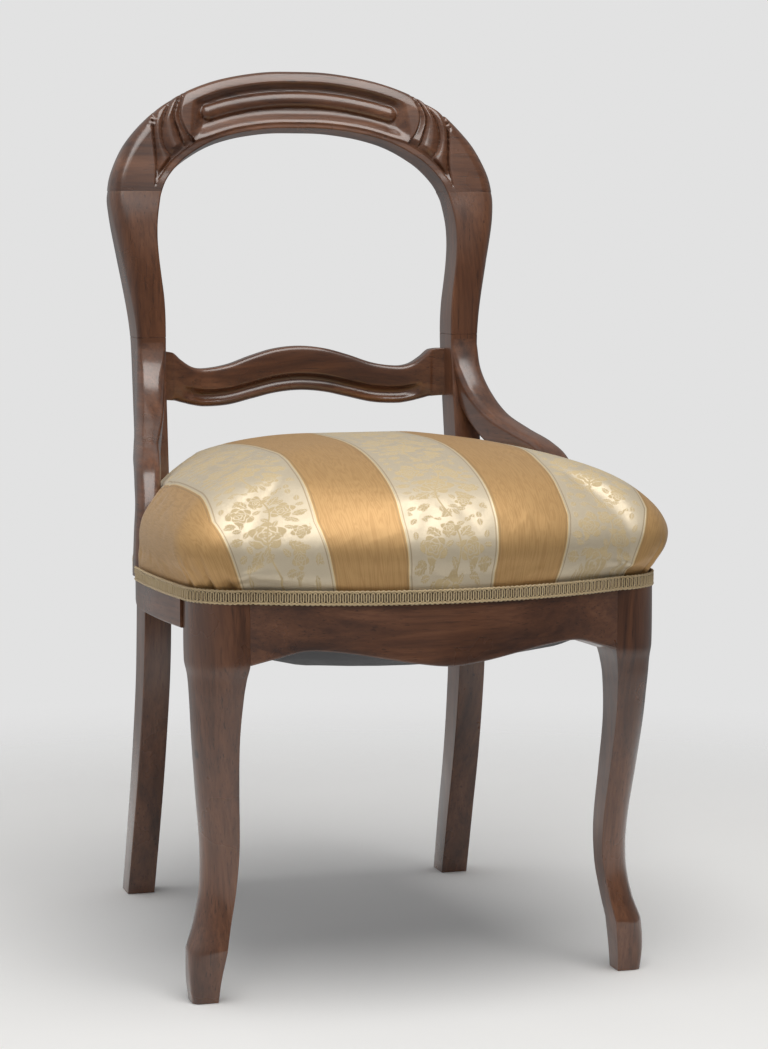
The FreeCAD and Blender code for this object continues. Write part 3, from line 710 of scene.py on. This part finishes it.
def plan_outline(plan=SEAT_PLAN, fine=1):
    """The seat's closed outline, counter-clockwise from the left end of the front's arc."""
    mirror = [(-x, y) for x, y in plan]
    points = arc_points(mirror[1], plan[0], plan[1], 24 * fine)
    for i in range(1, len(plan) - 2, 2):
        points += arc_points(plan[i], plan[i + 1], plan[i + 2], 10 * fine)
    points += [(plan[-1][0] * (1 - 2 * k / (12 * fine)), plan[-1][1]) for k in range(12 * fine)]
    for i in range(len(plan) - 1, 2, -2):
        points += arc_points(mirror[i], mirror[i - 1], mirror[i - 2], 10 * fine)
    return points


def seat_rail(name, path, low_edge):
    """A rail that follows plan points, with its back towards the middle of the seat."""
    rings = []
    for i, (x, y) in enumerate(path):
        ax, ay = path[max(i - 1, 0)]
        bx, by = path[min(i + 1, len(path) - 1)]
        inward = Vector((ay - by, bx - ax, 0)).normalized()
        low = Vector((x, y + DEPTH_SHIFT, low_edge(x)))
        top = Vector((x, y + DEPTH_SHIFT, SHOW_TOP))
        radii = (1.6, 1.0, 1.0, 1.0)
        rings.append(board_ring(low, top, inward, RAIL_THICK, radii, lambda s, rest: 0.0, 10))
    return loft(name, rings)


front_end = SEAT_PLAN[1]
front_path = arc_points((-front_end[0], front_end[1]), SEAT_PLAN[0], front_end, 160) + [front_end]
side_path = [spot for spot in plan_outline(fine=3) if spot[0] > 150 and 3.7 < spot[1] < 364]
back_path = [(160 - 320 * k / 20, 402) for k in range(21)]
scallop = [(-x, z) for x, z in reversed(FRONT_SCALLOP[1:])] + list(FRONT_SCALLOP)
rail_walnut = walnut("rail_walnut", LEVEL, (0.9, 0.4, 0.6))
front_rail = seat_rail("front_seat_rail_wood", front_path, lambda x: along(scallop, x)[1])
hand_over(front_rail, "front_seat_rail", rail_walnut)
right_rail = seat_rail("right_seat_rail_wood", side_path, lambda x: RAIL_LOW)
hand_over_pair(right_rail, walnut("side_rail_walnut", (0.0, 0.0, math.radians(90)), (0.3, 0.8, 0.5)))
back_rail = seat_rail("back_seat_rail_wood", back_path, lambda x: RAIL_LOW)
hand_over(back_rail, "back_seat_rail", rail_walnut)


# Seat: coil springs and horsehair under a striped silk brocade, drawn tight over the crown and tacked
# to the rails all round. Cream damask stripes with sprays of roses take turns with watered gold ones.

CUSHION_PLAN = (
    (0, -110), (188, -68), (233, -49), (245, -12), (246, 70), (242, 150), (218, 262), (187, 362),
    (172, 391), (150, 402))
CUSHION = (
    (378.5, 0.99, 0), (392, 0.992, 0), (406, 0.995, 0.7), (424, 0.995, 1), (441, 0.975, 1), (457, 0.92, 1),
    (473, 0.825, 1), (486, 0.695, 1), (497, 0.525, 1), (504, 0.325, 1), (506.5, 0.1, 1), (507, 0.0, 1))
CUSHION_LEVELS = (
    378.5, 384, 390, 396, 402, 408, 414, 420, 426, 432, 438, 444, 450, 456, 461, 466, 471, 475.5, 480, 484,
    488, 491.5, 494.5, 497.5, 500, 502, 503.5, 504.8, 505.8, 506.4)
SEAT_CENTRE = (SEAT_MIDDLE_Y + DEPTH_SHIFT) * MM
EVEN_SQUARE = 5.0
TACKED_BELOW = 0.393
PUFF_LIMIT = 5.0
CLOTH_FRAMES = 20
CLOTH_SETTINGS = {
    "quality": 5, "mass": 0.25, "tension_stiffness": 40.0, "compression_stiffness": 25.0,
    "bending_stiffness": 1.5, "use_pressure": True, "uniform_pressure_force": 3.0}


def cushion_ring(z):
    """Outline of the stuffed seat at a height."""
    scale, swell = along(CUSHION, z)[1:]
    plan = [(a + (c - a) * swell, b + (d - b) * swell) for (a, b), (c, d) in zip(SEAT_PLAN, CUSHION_PLAN)]
    return [Vector((x * scale, SEAT_MIDDLE_Y + (y - SEAT_MIDDLE_Y) * scale + DEPTH_SHIFT, z))
            for x, y in plan_outline(plan)]


def settle(piece):
    """Turns what the modifiers make of a piece into its own mesh."""
    graph = bpy.context.evaluated_depsgraph_get()
    mesh = bpy.data.meshes.new_from_object(piece.evaluated_get(graph))
    piece.modifiers.clear()
    piece.data = mesh


def refine(piece, kind="CATMULL_CLARK"):
    """Divides each face of a piece into four."""
    finer = piece.modifiers.new("finer", "SUBSURF")
    finer.subdivision_type = kind
    finer.levels = finer.render_levels = 1
    settle(piece)


def rows_of(mesh, what):
    """The places or the normals of a mesh's points, a row each."""
    values = np.empty(len(mesh.vertices) * 3)
    mesh.vertices.foreach_get(what, values)
    return values.reshape(-1, 3)


seat = loft("seat_cover_cloth", [cushion_ring(z) for z in CUSHION_LEVELS])
even = seat.modifiers.new("even", "REMESH")
even.mode = "VOXEL"
even.voxel_size = EVEN_SQUARE * MM
even.use_smooth_shade = True
settle(seat)
before = rows_of(seat.data, "co")
tacked = seat.vertex_groups.new(name="tacked")
tacked.add([point.index for point in seat.data.vertices if point.co.z < TACKED_BELOW], 1.0, "REPLACE")
cloth = seat.modifiers.new("silk", "CLOTH")
for setting, value in CLOTH_SETTINGS.items():
    setattr(cloth.settings, setting, value)
cloth.settings.vertex_group_mass = "tacked"
cloth.settings.effector_weights.gravity = 0.0
cloth.point_cache.frame_start = 1
cloth.point_cache.frame_end = CLOTH_FRAMES
for number in range(1, CLOTH_FRAMES + 1):
    scene.frame_set(number)
settle(seat)
scene.frame_set(1)
moved = rows_of(seat.data, "co") - before
length = np.linalg.norm(moved, axis=1, keepdims=True)
moved *= np.minimum(1.0, PUFF_LIMIT * MM / np.maximum(length, 1e-9))
seat.data.vertices.foreach_set("co", (before + moved).ravel())
refine(seat)

# Tucks at the front corners, where the spare silk is folded under before it is tacked: place in the
# plan, height and depth of each
TUCKS = (
    (-226, -22, 34, 3.0), (-213, -44, 46, 3.4), (-198, -56, 26, 2.2), (213, -45, 44, 3.2),
    (228, -20, 30, 2.6))
TUCK_HALF = 2.2
TUCK_LEAN = 0.25
points, normals = rows_of(seat.data, "co"), rows_of(seat.data, "normal")
behind = points[:, 1] - SEAT_CENTRE
plan_angle = np.arctan2(behind, points[:, 0])
reach = np.hypot(points[:, 0], behind)
push = np.zeros(len(points))
for tuck_x, tuck_y, tall, deep in TUCKS:
    angle = math.atan2(tuck_y - SEAT_MIDDLE_Y, tuck_x)
    climb = np.clip((points[:, 2] / MM - 388) / tall, 0, 1)
    aside = (plan_angle - angle) * reach / MM - math.copysign(TUCK_LEAN, tuck_x) * climb * 12
    fall = (1 - climb) ** 0.8 * (points[:, 2] > 0.380)
    push -= deep * np.exp(-(aside / TUCK_HALF) ** 2) * fall
    push += deep * 0.55 * np.exp(-((aside - 6.0) / 4.0) ** 2) * fall
points += normals * (push * MM)[:, None]

# The cover is cut and turned in round the foot of each brace
TURN_IN_START, TURN_IN_WIDTH, TURN_IN_GAP = 13.0, 15.0, 1.5
foot_line = np.array([
    [min(p.x for p in ring), sum(p.y for p in ring) / len(ring), sum(p.z for p in ring) / len(ring)]
    for ring in brace_rings[50:]]) * MM
gaps = np.hypot(points[:, 1:2] - foot_line[:, 1], points[:, 2:3] - foot_line[:, 2])
share = np.clip((gaps.min(axis=1) / MM - TURN_IN_START) / TURN_IN_WIDTH, 0, 1)
share = 1 - share * share * (3 - 2 * share)
aside = np.abs(points[:, 0])
inner = np.minimum(aside, foot_line[gaps.argmin(axis=1), 0] - TURN_IN_GAP * MM)
points[:, 0] = np.sign(points[:, 0]) * (aside * (1 - share) + inner * share)
seat.data.vertices.foreach_set("co", points.ravel())
seat.data.update()

# The silk's own measure over the crown and down the sides, in metres from the seat's middle. Down the
# sides it runs the way that the side faces, evened out over a few of the sectors of the plan.
SECTORS = 120
SIDE_TOP, CROWN_TOP, END_SHARE = 0.452, 0.507, 0.85
sector = ((plan_angle + math.pi) / (2 * math.pi) * SECTORS).astype(int) % SECTORS
low = (points[:, 2] > 0.40) & (points[:, 2] < 0.45)
outward = np.column_stack([np.bincount(sector[low], normals[low, axis], SECTORS) for axis in (0, 1)])
outward = sum(np.roll(outward, shift, axis=0) for shift in range(-2, 3))
outward /= np.linalg.norm(outward, axis=1, keepdims=True)
middles = (np.arange(SECTORS) + 0.5) / SECTORS * 2 * math.pi - math.pi
way_x, way_y = (np.interp(plan_angle, middles, outward[:, axis], period=2 * math.pi) for axis in (0, 1))
cloth_u = points[:, 0] + way_x * np.clip(SIDE_TOP - points[:, 2], 0, None)
cloth_v = points[:, 1] + way_y * np.clip(CROWN_TOP - points[:, 2], 0, None) * END_SHARE
layer = seat.data.uv_layers.new(name="silk")
corner = np.empty(len(seat.data.loops), int)
seat.data.loops.foreach_get("vertex_index", corner)
layer.data.foreach_set("uv", np.column_stack([cloth_u[corner], cloth_v[corner]]).ravel())

ROSES = ((-3, -6, 19), (-20, 27, 14), (18, 25, 13), (27, -12, 10), (-2, 47, 10), (17, -39, 9))
LEAVES = (
    (-12, -22, 215, 22), (12, -22, 320, 21), (-27, 14, 185, 15), (25, 14, 10, 17), (-12, 38, 130, 18),
    (8, 38, 50, 18), (-16, -42, 215, 17), (2, -50, 240, 17), (-26, -4, 190, 17))
REPEAT = 124.0
SIDE_STAGGER = 22.0
SPRAY_START = 190.0
STRIPE_EDGES = (45.0, 120.0, 209.0)
BACK_EDGE = 303.5
OUTER_MIDDLE = 164.5


def highest(tree, top, *others):
    """The highest of several values."""
    for other in others:
        top = calc(tree, "MAXIMUM", top, other)
    return top


def across_and_along(tree, place):
    """A point's X and Y."""
    split = add(tree, "ShaderNodeSeparateXYZ", {0: place})
    return split.outputs["X"], split.outputs["Y"]


def new_figure(name):
    """An empty group for a woven figure, the point that it is given and the socket for its mask."""
    group, given, results = new_group(name, {"Point": "Vector"}, {"Mask": "Float"})
    return group, given["Point"], results["Mask"]


def figure_at(tree, figure, point, middle=(0, 0), turn=0, size=1):
    """The mask at a point of a figure that is moved to a middle, turned in degrees and enlarged."""
    placed = add(tree, "ShaderNodeMapping", {
        "Vector": point, "Location": (*middle, 0), "Rotation": (0, 0, math.radians(turn)),
        "Scale": (size, size, 1)}, vector_type="TEXTURE").outputs[0]
    return add(tree, "ShaderNodeGroup", {"Point": placed}, node_tree=figure).outputs["Mask"]


def rose_figure():
    """A woven rose seen from above, in radii from its middle."""
    group, point, mask_out = new_figure("woven_rose")
    x, y = across_and_along(group, point)
    away = calc(group, "SQRT", calc(group, "ADD", times(group, x, x), times(group, y, y)))
    angle = calc(group, "ARCTAN2", y, x)
    rim = calc(group, "MULTIPLY_ADD", calc(group, "COSINE", times(group, angle, 5.0)), 0.13, 0.87)
    mask = step_up(group, calc(group, "SUBTRACT", rim, away), 0.0, 0.07)
    for size, petals, turn, deep in ((0.62, 5.0, 3.14, 0.09), (0.38, 4.0, 1.0, 0.07), (0.17, 3.0, 0.4, 0.05)):
        inner = calc(group, "COSINE", calc(group, "MULTIPLY_ADD", angle, petals, turn))
        ring = calc(group, "SUBTRACT", away, calc(group, "MULTIPLY_ADD", inner, deep, size))
        mask = times(group, mask, step_up(group, calc(group, "ABSOLUTE", ring), 0.02, 0.075, 0.15, 1.0))
    group.links.new(mask, mask_out)
    return group


def leaf_figure():
    """A woven leaf from its stalk at 0 to its tip at 1 along X, with a saw edge and a midrib."""
    group, point, mask_out = new_figure("woven_leaf")
    x, y = across_and_along(group, point)
    off = calc(group, "ABSOLUTE", y)
    inside = times(group, step_up(group, x, 0.0, 0.04), step_up(group, x, 0.96, 1.0, 1.0, 0.0))
    run = calc(group, "POWER", calc(group, "MAXIMUM", x, 0.0), 0.8)
    bulge = calc(group, "SINE", times(group, run, 3.1416))
    teeth = times(group, calc(group, "SINE", times(group, x, 34.0)), 0.03)
    half = calc(group, "ADD", times(group, bulge, 0.27), teeth)
    blade = step_up(group, calc(group, "SUBTRACT", half, off), 0.0, 0.05)
    rib = step_up(group, off, 0.012, 0.05, 0.2, 1.0)
    slant = calc(group, "SINE", times(group, calc(group, "SUBTRACT", x, off), 26.0))
    veins = step_up(group, slant, -0.95, -0.6, 0.35, 1.0)
    group.links.new(times(group, inside, blade, rib, veins), mask_out)
    return group


def strewn_figure(leaf):
    """Small leaves strewn between the sprays, one to each cell of a slack net, each turned its own way."""
    group, point, mask_out = new_figure("strewn_leaves")
    cell = add(group, "ShaderNodeTexVoronoi", {"Vector": point, "Scale": 0.078, "Randomness": 0.8},
               voronoi_dimensions="2D")
    chance = add(group, "ShaderNodeSeparateColor", {0: cell.outputs["Color"]}).outputs["Red"]
    away = vector(group, "SUBTRACT", point, cell.outputs["Position"])
    angle = times(group, chance, 2 * math.pi)
    turned = add(group, "ShaderNodeVectorRotate", {"Vector": away, "Angle": angle}, rotation_type="Z_AXIS")
    group.links.new(figure_at(group, leaf, turned.outputs[0], (-5.5, 0), 0, 11.0), mask_out)
    return group


def spray_figure(rose, leaf):
    """A spray of roses and leaves on a swaying stem, in millimetres from the spray's middle."""
    group, point, mask_out = new_figure("rose_spray")
    masks = [figure_at(group, rose, point, (x, y), 37 * i, size) for i, (x, y, size) in enumerate(ROSES)]
    masks += [figure_at(group, leaf, point, (x, y), turn, size) for x, y, turn, size in LEAVES]
    x, y = across_and_along(group, point)
    swing = times(group, calc(group, "SINE", times(group, y, 0.055)), 7.0)
    stem = step_up(group, calc(group, "ABSOLUTE", calc(group, "SUBTRACT", x, swing)), 0.5, 1.1, 1.0, 0.0)
    stem = times(group, stem, step_up(group, y, -66.0, -62.0), step_up(group, y, 50.0, 54.0, 1.0, 0.0))
    group.links.new(highest(group, *masks, stem), mask_out)
    return group


def brocade():
    """Striped silk: cream damask and watered gold, with a corded line at each change of stripe."""
    material, tree = new_material("striped_brocade")
    silk = add(tree, "ShaderNodeUVMap", uv_map="silk").outputs[0]
    point = vector(tree, "SCALE", silk, 1 / MM)
    u, v = across_and_along(tree, point)
    off = calc(tree, "ABSOLUTE", u)

    def past(edge, soft=0.1):
        return step_up(tree, off, edge - soft, edge + soft)

    def short_of(edge, soft=0.1):
        return step_up(tree, off, edge - soft, edge + soft, 1.0, 0.0)

    inner_edge, middle_edge, outer_edge = STRIPE_EDGES
    outer = times(tree, past(middle_edge), short_of(outer_edge))
    cream = highest(tree, short_of(inner_edge), outer, past(BACK_EDGE, 0.5))
    cords, shadows = [], []
    for edge in STRIPE_EDGES:
        gap = calc(tree, "ABSOLUTE", calc(tree, "SUBTRACT", off, edge))
        beside = calc(tree, "ABSOLUTE", calc(tree, "SUBTRACT", gap, 2.3))
        cords.append(step_up(tree, gap, 0.5, 0.9, 1.0, 0.0))
        shadows.append(step_up(tree, beside, 0.35, 0.8, 1.0, 0.0))
    cord, shadow = highest(tree, *cords), highest(tree, *shadows)
    # sprays in the middle of each cream stripe, staggered from stripe to stripe
    is_outer = past(82.5, 0.5)
    sign = calc(tree, "SIGN", u)
    local = calc(tree, "SUBTRACT", u, times(tree, is_outer, OUTER_MIDDLE, sign))
    stagger = times(tree, is_outer, calc(tree, "MULTIPLY_ADD", sign, SIDE_STAGGER, REPEAT / 2))
    shifted = calc(tree, "ADD", calc(tree, "ADD", v, stagger), SPRAY_START)
    rest = calc(tree, "SUBTRACT", calc(tree, "FLOORED_MODULO", shifted, REPEAT), REPEAT / 2)
    placed = add(tree, "ShaderNodeCombineXYZ", {0: local, 1: rest}).outputs[0]
    leaf = leaf_figure()
    inside = step_up(tree, calc(tree, "ABSOLUTE", local), 37.0, 39.0, 1.0, 0.0)
    strewn = times(tree, figure_at(tree, strewn_figure(leaf), placed), inside)
    figure = highest(tree, figure_at(tree, spray_figure(rose_figure(), leaf), placed), strewn)
    fray = noise(tree, point, 0.9, 2.0)
    figure = times(tree, figure, step_up(tree, fray, 0.25, 0.6, 0.55, 1.0), cream, short_of(250.5, 0.5))
    # the watered gold: long lines that drift apart and together
    water = noise(tree, stretch(tree, point, (0.16, 0.012, 1.0)), 1.0, 2.0, distortion=0.4)
    water = step_up(tree, calc(tree, "ABSOLUTE", calc(tree, "SINE", times(tree, water, 26.0))), 0.2, 0.95)
    gold = tint(tree, water, (0.500, 0.294, 0.116), (0.560, 0.340, 0.140))
    pale = tint(tree, fray, (0.640, 0.545, 0.395), (0.700, 0.605, 0.450))
    pale = tint(tree, times(tree, figure, 0.95), pale, (0.565, 0.430, 0.225))
    tone = tint(tree, cord, tint(tree, cream, gold, pale), (0.74, 0.60, 0.37))
    tone = tint(tree, times(tree, shadow, 0.6), tone, (0.36, 0.235, 0.11))
    rough = calc(tree, "MULTIPLY_ADD", figure, 0.22, calc(tree, "MULTIPLY_ADD", cream, -0.04, 0.50))
    satin = calc(tree, "MULTIPLY_ADD", figure, -0.40, 0.45)
    height = times(tree, calc(tree, "SINE", times(tree, u, 11.0)), 0.15)
    ribs = calc(tree, "SINE", times(tree, v, 9.0))
    for part, share in ((ribs, 0.2), (figure, 1.2), (cord, 2.0), (water, 0.1)):
        height = calc(tree, "MULTIPLY_ADD", part, share, height)
    finish(tree, height, 0.3, 0.25, {
        "Base Color": tone, "Roughness": rough, "Metallic": satin, "Sheen Weight": 0.15,
        "Sheen Roughness": 0.35})
    return material


hand_over(seat, "seat_cover", brocade())


# Gimp braid: a looped cord between two edge cords on a narrow tape, glued and pinned over the tacks
# along the edge of the cover. It is broken by the posts and by the feet of the braces.

BRAID_HIGH = 13.0
BRAID_MIDDLE = 384.0
BRAID_PITCH = 4.7
BRAID_PROUD = 1.0035
CORD_RADIUS = 0.72
CORD_STEP = 0.42
TAPE_THICK, TAPE_HIGH, TAPE_STEP = 1.0, 11.4, 4.0
CORDS = ((0.35, 0.0, -0.12, 1.5, 1.0), (0.03, 0.43, 0.0, 1.3, 1.5), (0.03, -0.43, 0.0, 1.3, 1.5))


def braid_paths():
    """Stretches of the seat's outline that the braid covers, as lists of points in metres."""
    whole = [(x * BRAID_PROUD, SEAT_MIDDLE_Y + (y - SEAT_MIDDLE_Y) * BRAID_PROUD)
             for x, y in plan_outline(fine=2)]
    whole = whole[-40:] + whole[:-40]

    def covered(x, y):
        brace = abs(x) > 219 and 165.5 < y < 194.5
        post = 152 < abs(x) < 205 and y > 360
        return brace or post

    runs, run = [], []
    for x, y in whole + whole[:1]:
        if covered(x, y):
            if len(run) > 3:
                runs.append(run)
            run = []
        else:
            run.append((x * MM, (y + DEPTH_SHIFT) * MM, BRAID_MIDDLE * MM))
    if len(run) > 3:
        runs.append(run)
    return runs


def gimp_material():
    """Dull gold cotton cord with a fine twist, on a tape coloured dark brown as painted shade in the gaps
    between the loops.
    """
    material, tree = new_material("gimp_cotton")
    place = on_piece(tree)
    inputs = {"Vector": place, "Scale": 420.0, "Distortion": 2.0, "Detail": 1.0}
    strands = add(tree, "ShaderNodeTexWave", inputs, bands_direction="DIAGONAL").outputs["Fac"]
    tone = tint(tree, noise(tree, place, 60.0, 3.0), (0.46, 0.335, 0.175), (0.64, 0.50, 0.295))
    tone = tint(tree, times(tree, strands, 0.15), tone, (0.20, 0.14, 0.07))
    on_cord = add(tree, "ShaderNodeAttribute", attribute_name="cord").outputs["Fac"]
    # the tape's dark brown is painted shade: it stands for the shadow that falls in the gaps between the
    # loops
    tone = tint(tree, on_cord, (0.135, 0.095, 0.05), tone)
    finish(tree, strands, 0.4, 0.2, {
        "Base Color": tone, "Roughness": 0.75, "Sheen Weight": 0.3, "Sheen Roughness": 0.5})
    return material


def braid_tree(material):
    """Cords along the path: the looped one swings up and down, and one runs along each edge."""
    tree = bpy.data.node_groups.new("gimp_cords", "GeometryNodeTree")
    face = tree.interface
    face.new_socket("Geometry", in_out="INPUT", socket_type="NodeSocketGeometry")
    for name, value in (
            ("Pitch", BRAID_PITCH), ("Height", BRAID_HIGH), ("Cord", CORD_RADIUS), ("Step", CORD_STEP)):
        face.new_socket(name, in_out="INPUT", socket_type="NodeSocketFloat").default_value = value * MM
    face.new_socket("Geometry", in_out="OUTPUT", socket_type="NodeSocketGeometry")
    given = tree.nodes.new("NodeGroupInput").outputs
    line, pitch, high, thick, gap = (given[name] for name in ("Geometry", "Pitch", "Height", "Cord", "Step"))
    fine = add(tree, "GeometryNodeResampleCurve", {"Curve": line, "Length": gap}, mode="LENGTH")
    distance = add(tree, "GeometryNodeSplineParameter").outputs["Length"]
    turn = times(tree, calc(tree, "DIVIDE", distance, pitch), 2 * math.pi)
    ahead = add(tree, "GeometryNodeInputTangent").outputs[0]
    outward = vector(tree, "CROSS_PRODUCT", ahead, (0, 0, 1))
    parts = []
    for swing, place, curl, out, size in CORDS:
        lift = times(tree, calc(tree, "SINE", turn), times(tree, high, swing))
        lift = calc(tree, "ADD", lift, times(tree, high, place))
        shift = times(tree, calc(tree, "SINE", times(tree, turn, 2.0)), times(tree, pitch, curl))
        proud = times(tree, calc(tree, "MULTIPLY_ADD", calc(tree, "COSINE", turn), 0.25, out), thick)
        forward, side = vector(tree, "SCALE", ahead, shift), vector(tree, "SCALE", outward, proud)
        raised = add(tree, "ShaderNodeCombineXYZ", {2: lift}).outputs[0]
        offset = vector(tree, "ADD", vector(tree, "ADD", forward, side), raised)
        placed = add(tree, "GeometryNodeSetPosition", {"Geometry": fine.outputs[0], "Offset": offset})
        section = add(tree, "GeometryNodeCurvePrimitiveCircle", {
            "Resolution": 5, "Radius": times(tree, thick, size)}, mode="RADIUS")
        tube = add(tree, "GeometryNodeCurveToMesh", {
            "Curve": placed.outputs[0], "Profile Curve": section.outputs[0], "Fill Caps": True})
        parts.append(add(tree, "GeometryNodeStoreNamedAttribute", {
            "Geometry": tube.outputs[0], "Name": "cord", "Value": 1.0}, data_type="FLOAT").outputs[0])
    coarse = add(tree, "GeometryNodeResampleCurve", {"Curve": line, "Length": TAPE_STEP * MM}, mode="LENGTH")
    upright = add(tree, "GeometryNodeSetCurveNormal", {"Curve": coarse.outputs[0]}, mode="Z_UP")
    flat = add(tree, "GeometryNodeCurvePrimitiveQuadrilateral", {
        "Width": TAPE_THICK * MM, "Height": TAPE_HIGH * MM})
    parts.append(add(tree, "GeometryNodeCurveToMesh", {
        "Curve": upright.outputs[0], "Profile Curve": flat.outputs[0], "Fill Caps": True}).outputs[0])
    joined = add(tree, "GeometryNodeJoinGeometry")
    for part in parts:
        tree.links.new(part, joined.inputs[0])
    smooth = add(tree, "GeometryNodeSetShadeSmooth", {"Geometry": joined.outputs[0], "Shade Smooth": True})
    real = add(tree, "GeometryNodeRealizeInstances", {"Geometry": smooth.outputs[0]})
    coloured = add(tree, "GeometryNodeSetMaterial", {"Geometry": real.outputs[0], "Material": material})
    add(tree, "NodeGroupOutput", {0: coloured.outputs[0]})
    return tree


braid_line = bpy.data.curves.new("gimp_path", "CURVE")
braid_line.dimensions = "3D"
for run in braid_paths():
    spline = braid_line.splines.new("POLY")
    spline.points.add(len(run) - 1)
    for spot, place in zip(spline.points, run):
        spot.co = (*place, 1.0)
gimp = new_piece("gimp_braid_cords", braid_line)
cotton = gimp_material()
gimp.modifiers.new("cords", "NODES").node_group = braid_tree(cotton)
graph = bpy.context.evaluated_depsgraph_get()
braid = new_piece("gimp_braid_cotton", bpy.data.meshes.new_from_object(gimp.evaluated_get(graph)))
bpy.data.objects.remove(gimp)
tidy_mesh(braid.data)
hand_over(braid, "gimp_braid", cotton)


# Dust cover: thin black cotton tacked under the rails. It has sagged with the old webbing, so that it
# shows as a dark crescent below the front rail.

def joined_copy(node, name):
    """A copy of a CAD node's mesh with its loose triangles joined."""
    mesh = frame["nodes"][node].data.copy()
    mesh.name = name
    tidy_mesh(mesh)
    return new_piece(name, mesh)


def woven(name, dark, light, pitch, strength=0.3):
    """Plain woven cloth of two close colours."""
    material, tree = new_material(name)
    place = on_piece(tree)
    warp, weft = (calc(tree, "SINE", times(tree, axis, 2 * math.pi / pitch))
                  for axis in across_and_along(tree, place))
    weave = times(tree, warp, weft)
    share = calc(tree, "MULTIPLY_ADD", weave, 0.25, noise(tree, place, 18.0, 4.0), clamp=True)
    finish(tree, weave, strength, 0.3, {
        "Base Color": tint(tree, share, dark, light), "Roughness": 0.85, "Sheen Weight": 0.2})
    return material


dust = joined_copy("dust_cover", "dust_cover_cambric")
refine(dust, "SIMPLE")
cambric = woven("black_cambric", (0.016, 0.017, 0.019), (0.045, 0.047, 0.052), 0.0012)
hand_over(dust, "dust_cover", cambric)


# Inside the seat: jute webbing, waisted coil springs, hessian and curled hair, with corner blocks,
# dowels and screws. All of it is shut in by the cover above and the dust cover below.

INNER_SCALE = 0.955
INNER_MIDDLE = -0.025
INNER_BASE, INNER_RISE = 0.392, 0.96
jute = woven("jute_webbing", (0.16, 0.11, 0.06), (0.36, 0.27, 0.16), 0.003)
hessian = woven("hessian", (0.2, 0.15, 0.09), (0.4, 0.32, 0.2), 0.002)
hair = woven("curled_hair", (0.03, 0.02, 0.014), (0.16, 0.11, 0.07), 0.0045, 0.6)
for way in ("long", "cross"):
    for number in (1, 2, 3):
        node = "%s_web_%d" % (way, number)
        hand_over(joined_copy(node, node + "_jute"), node, jute)
for node, slot, cloth in (("spring_canvas", "canvas", hessian), ("stuffing", "horsehair", hair)):
    layer = joined_copy(node, node + "_cloth")
    for point in layer.data.vertices:
        x, y, z = point.co
        y = (y - INNER_MIDDLE) * INNER_SCALE + INNER_MIDDLE
        point.co = (x * INNER_SCALE, y, INNER_BASE + (z - INNER_BASE) * INNER_RISE)
    hand_over(layer, node, cloth)


def metal(name, colour, rust):
    """Dull iron or steel with darker patches."""
    material, tree = new_material(name)
    cloud = noise(tree, on_piece(tree), 90.0, 5.0)
    tone = tint(tree, step_up(tree, cloud, 0.4, 0.65), colour, rust)
    rough = step_up(tree, cloud, 0.3, 0.7, 0.35, 0.6)
    finish(tree, cloud, 0.2, 0.2, {"Base Color": tone, "Metallic": 1.0, "Roughness": rough})
    return material


def beech():
    """Plain pale wood, left unfinished inside the seat."""
    material, tree = new_material("raw_beech")
    flecks = noise(tree, stretch(tree, on_piece(tree), (20.0, 90.0, 90.0)), 2.0, 4.0)
    tone = tint(tree, flecks, (0.33, 0.21, 0.11), (0.50, 0.36, 0.21))
    finish(tree, flecks, 0.2, 0.3, {"Base Color": tone, "Roughness": 0.7})
    return material


inner_finish = {
    "beech": beech(), "iron": metal("dark_iron", (0.10, 0.09, 0.085), (0.07, 0.03, 0.015)),
    "spring_steel": metal("coppered_wire", (0.42, 0.27, 0.17), (0.16, 0.08, 0.045))}
for entry in frame["record"]["subparts"]:
    finish = inner_finish.get(entry["material_slot"])
    if finish:
        mesh = frame["nodes"][entry["node"]].data
        mesh.materials.clear()
        mesh.materials.append(finish)
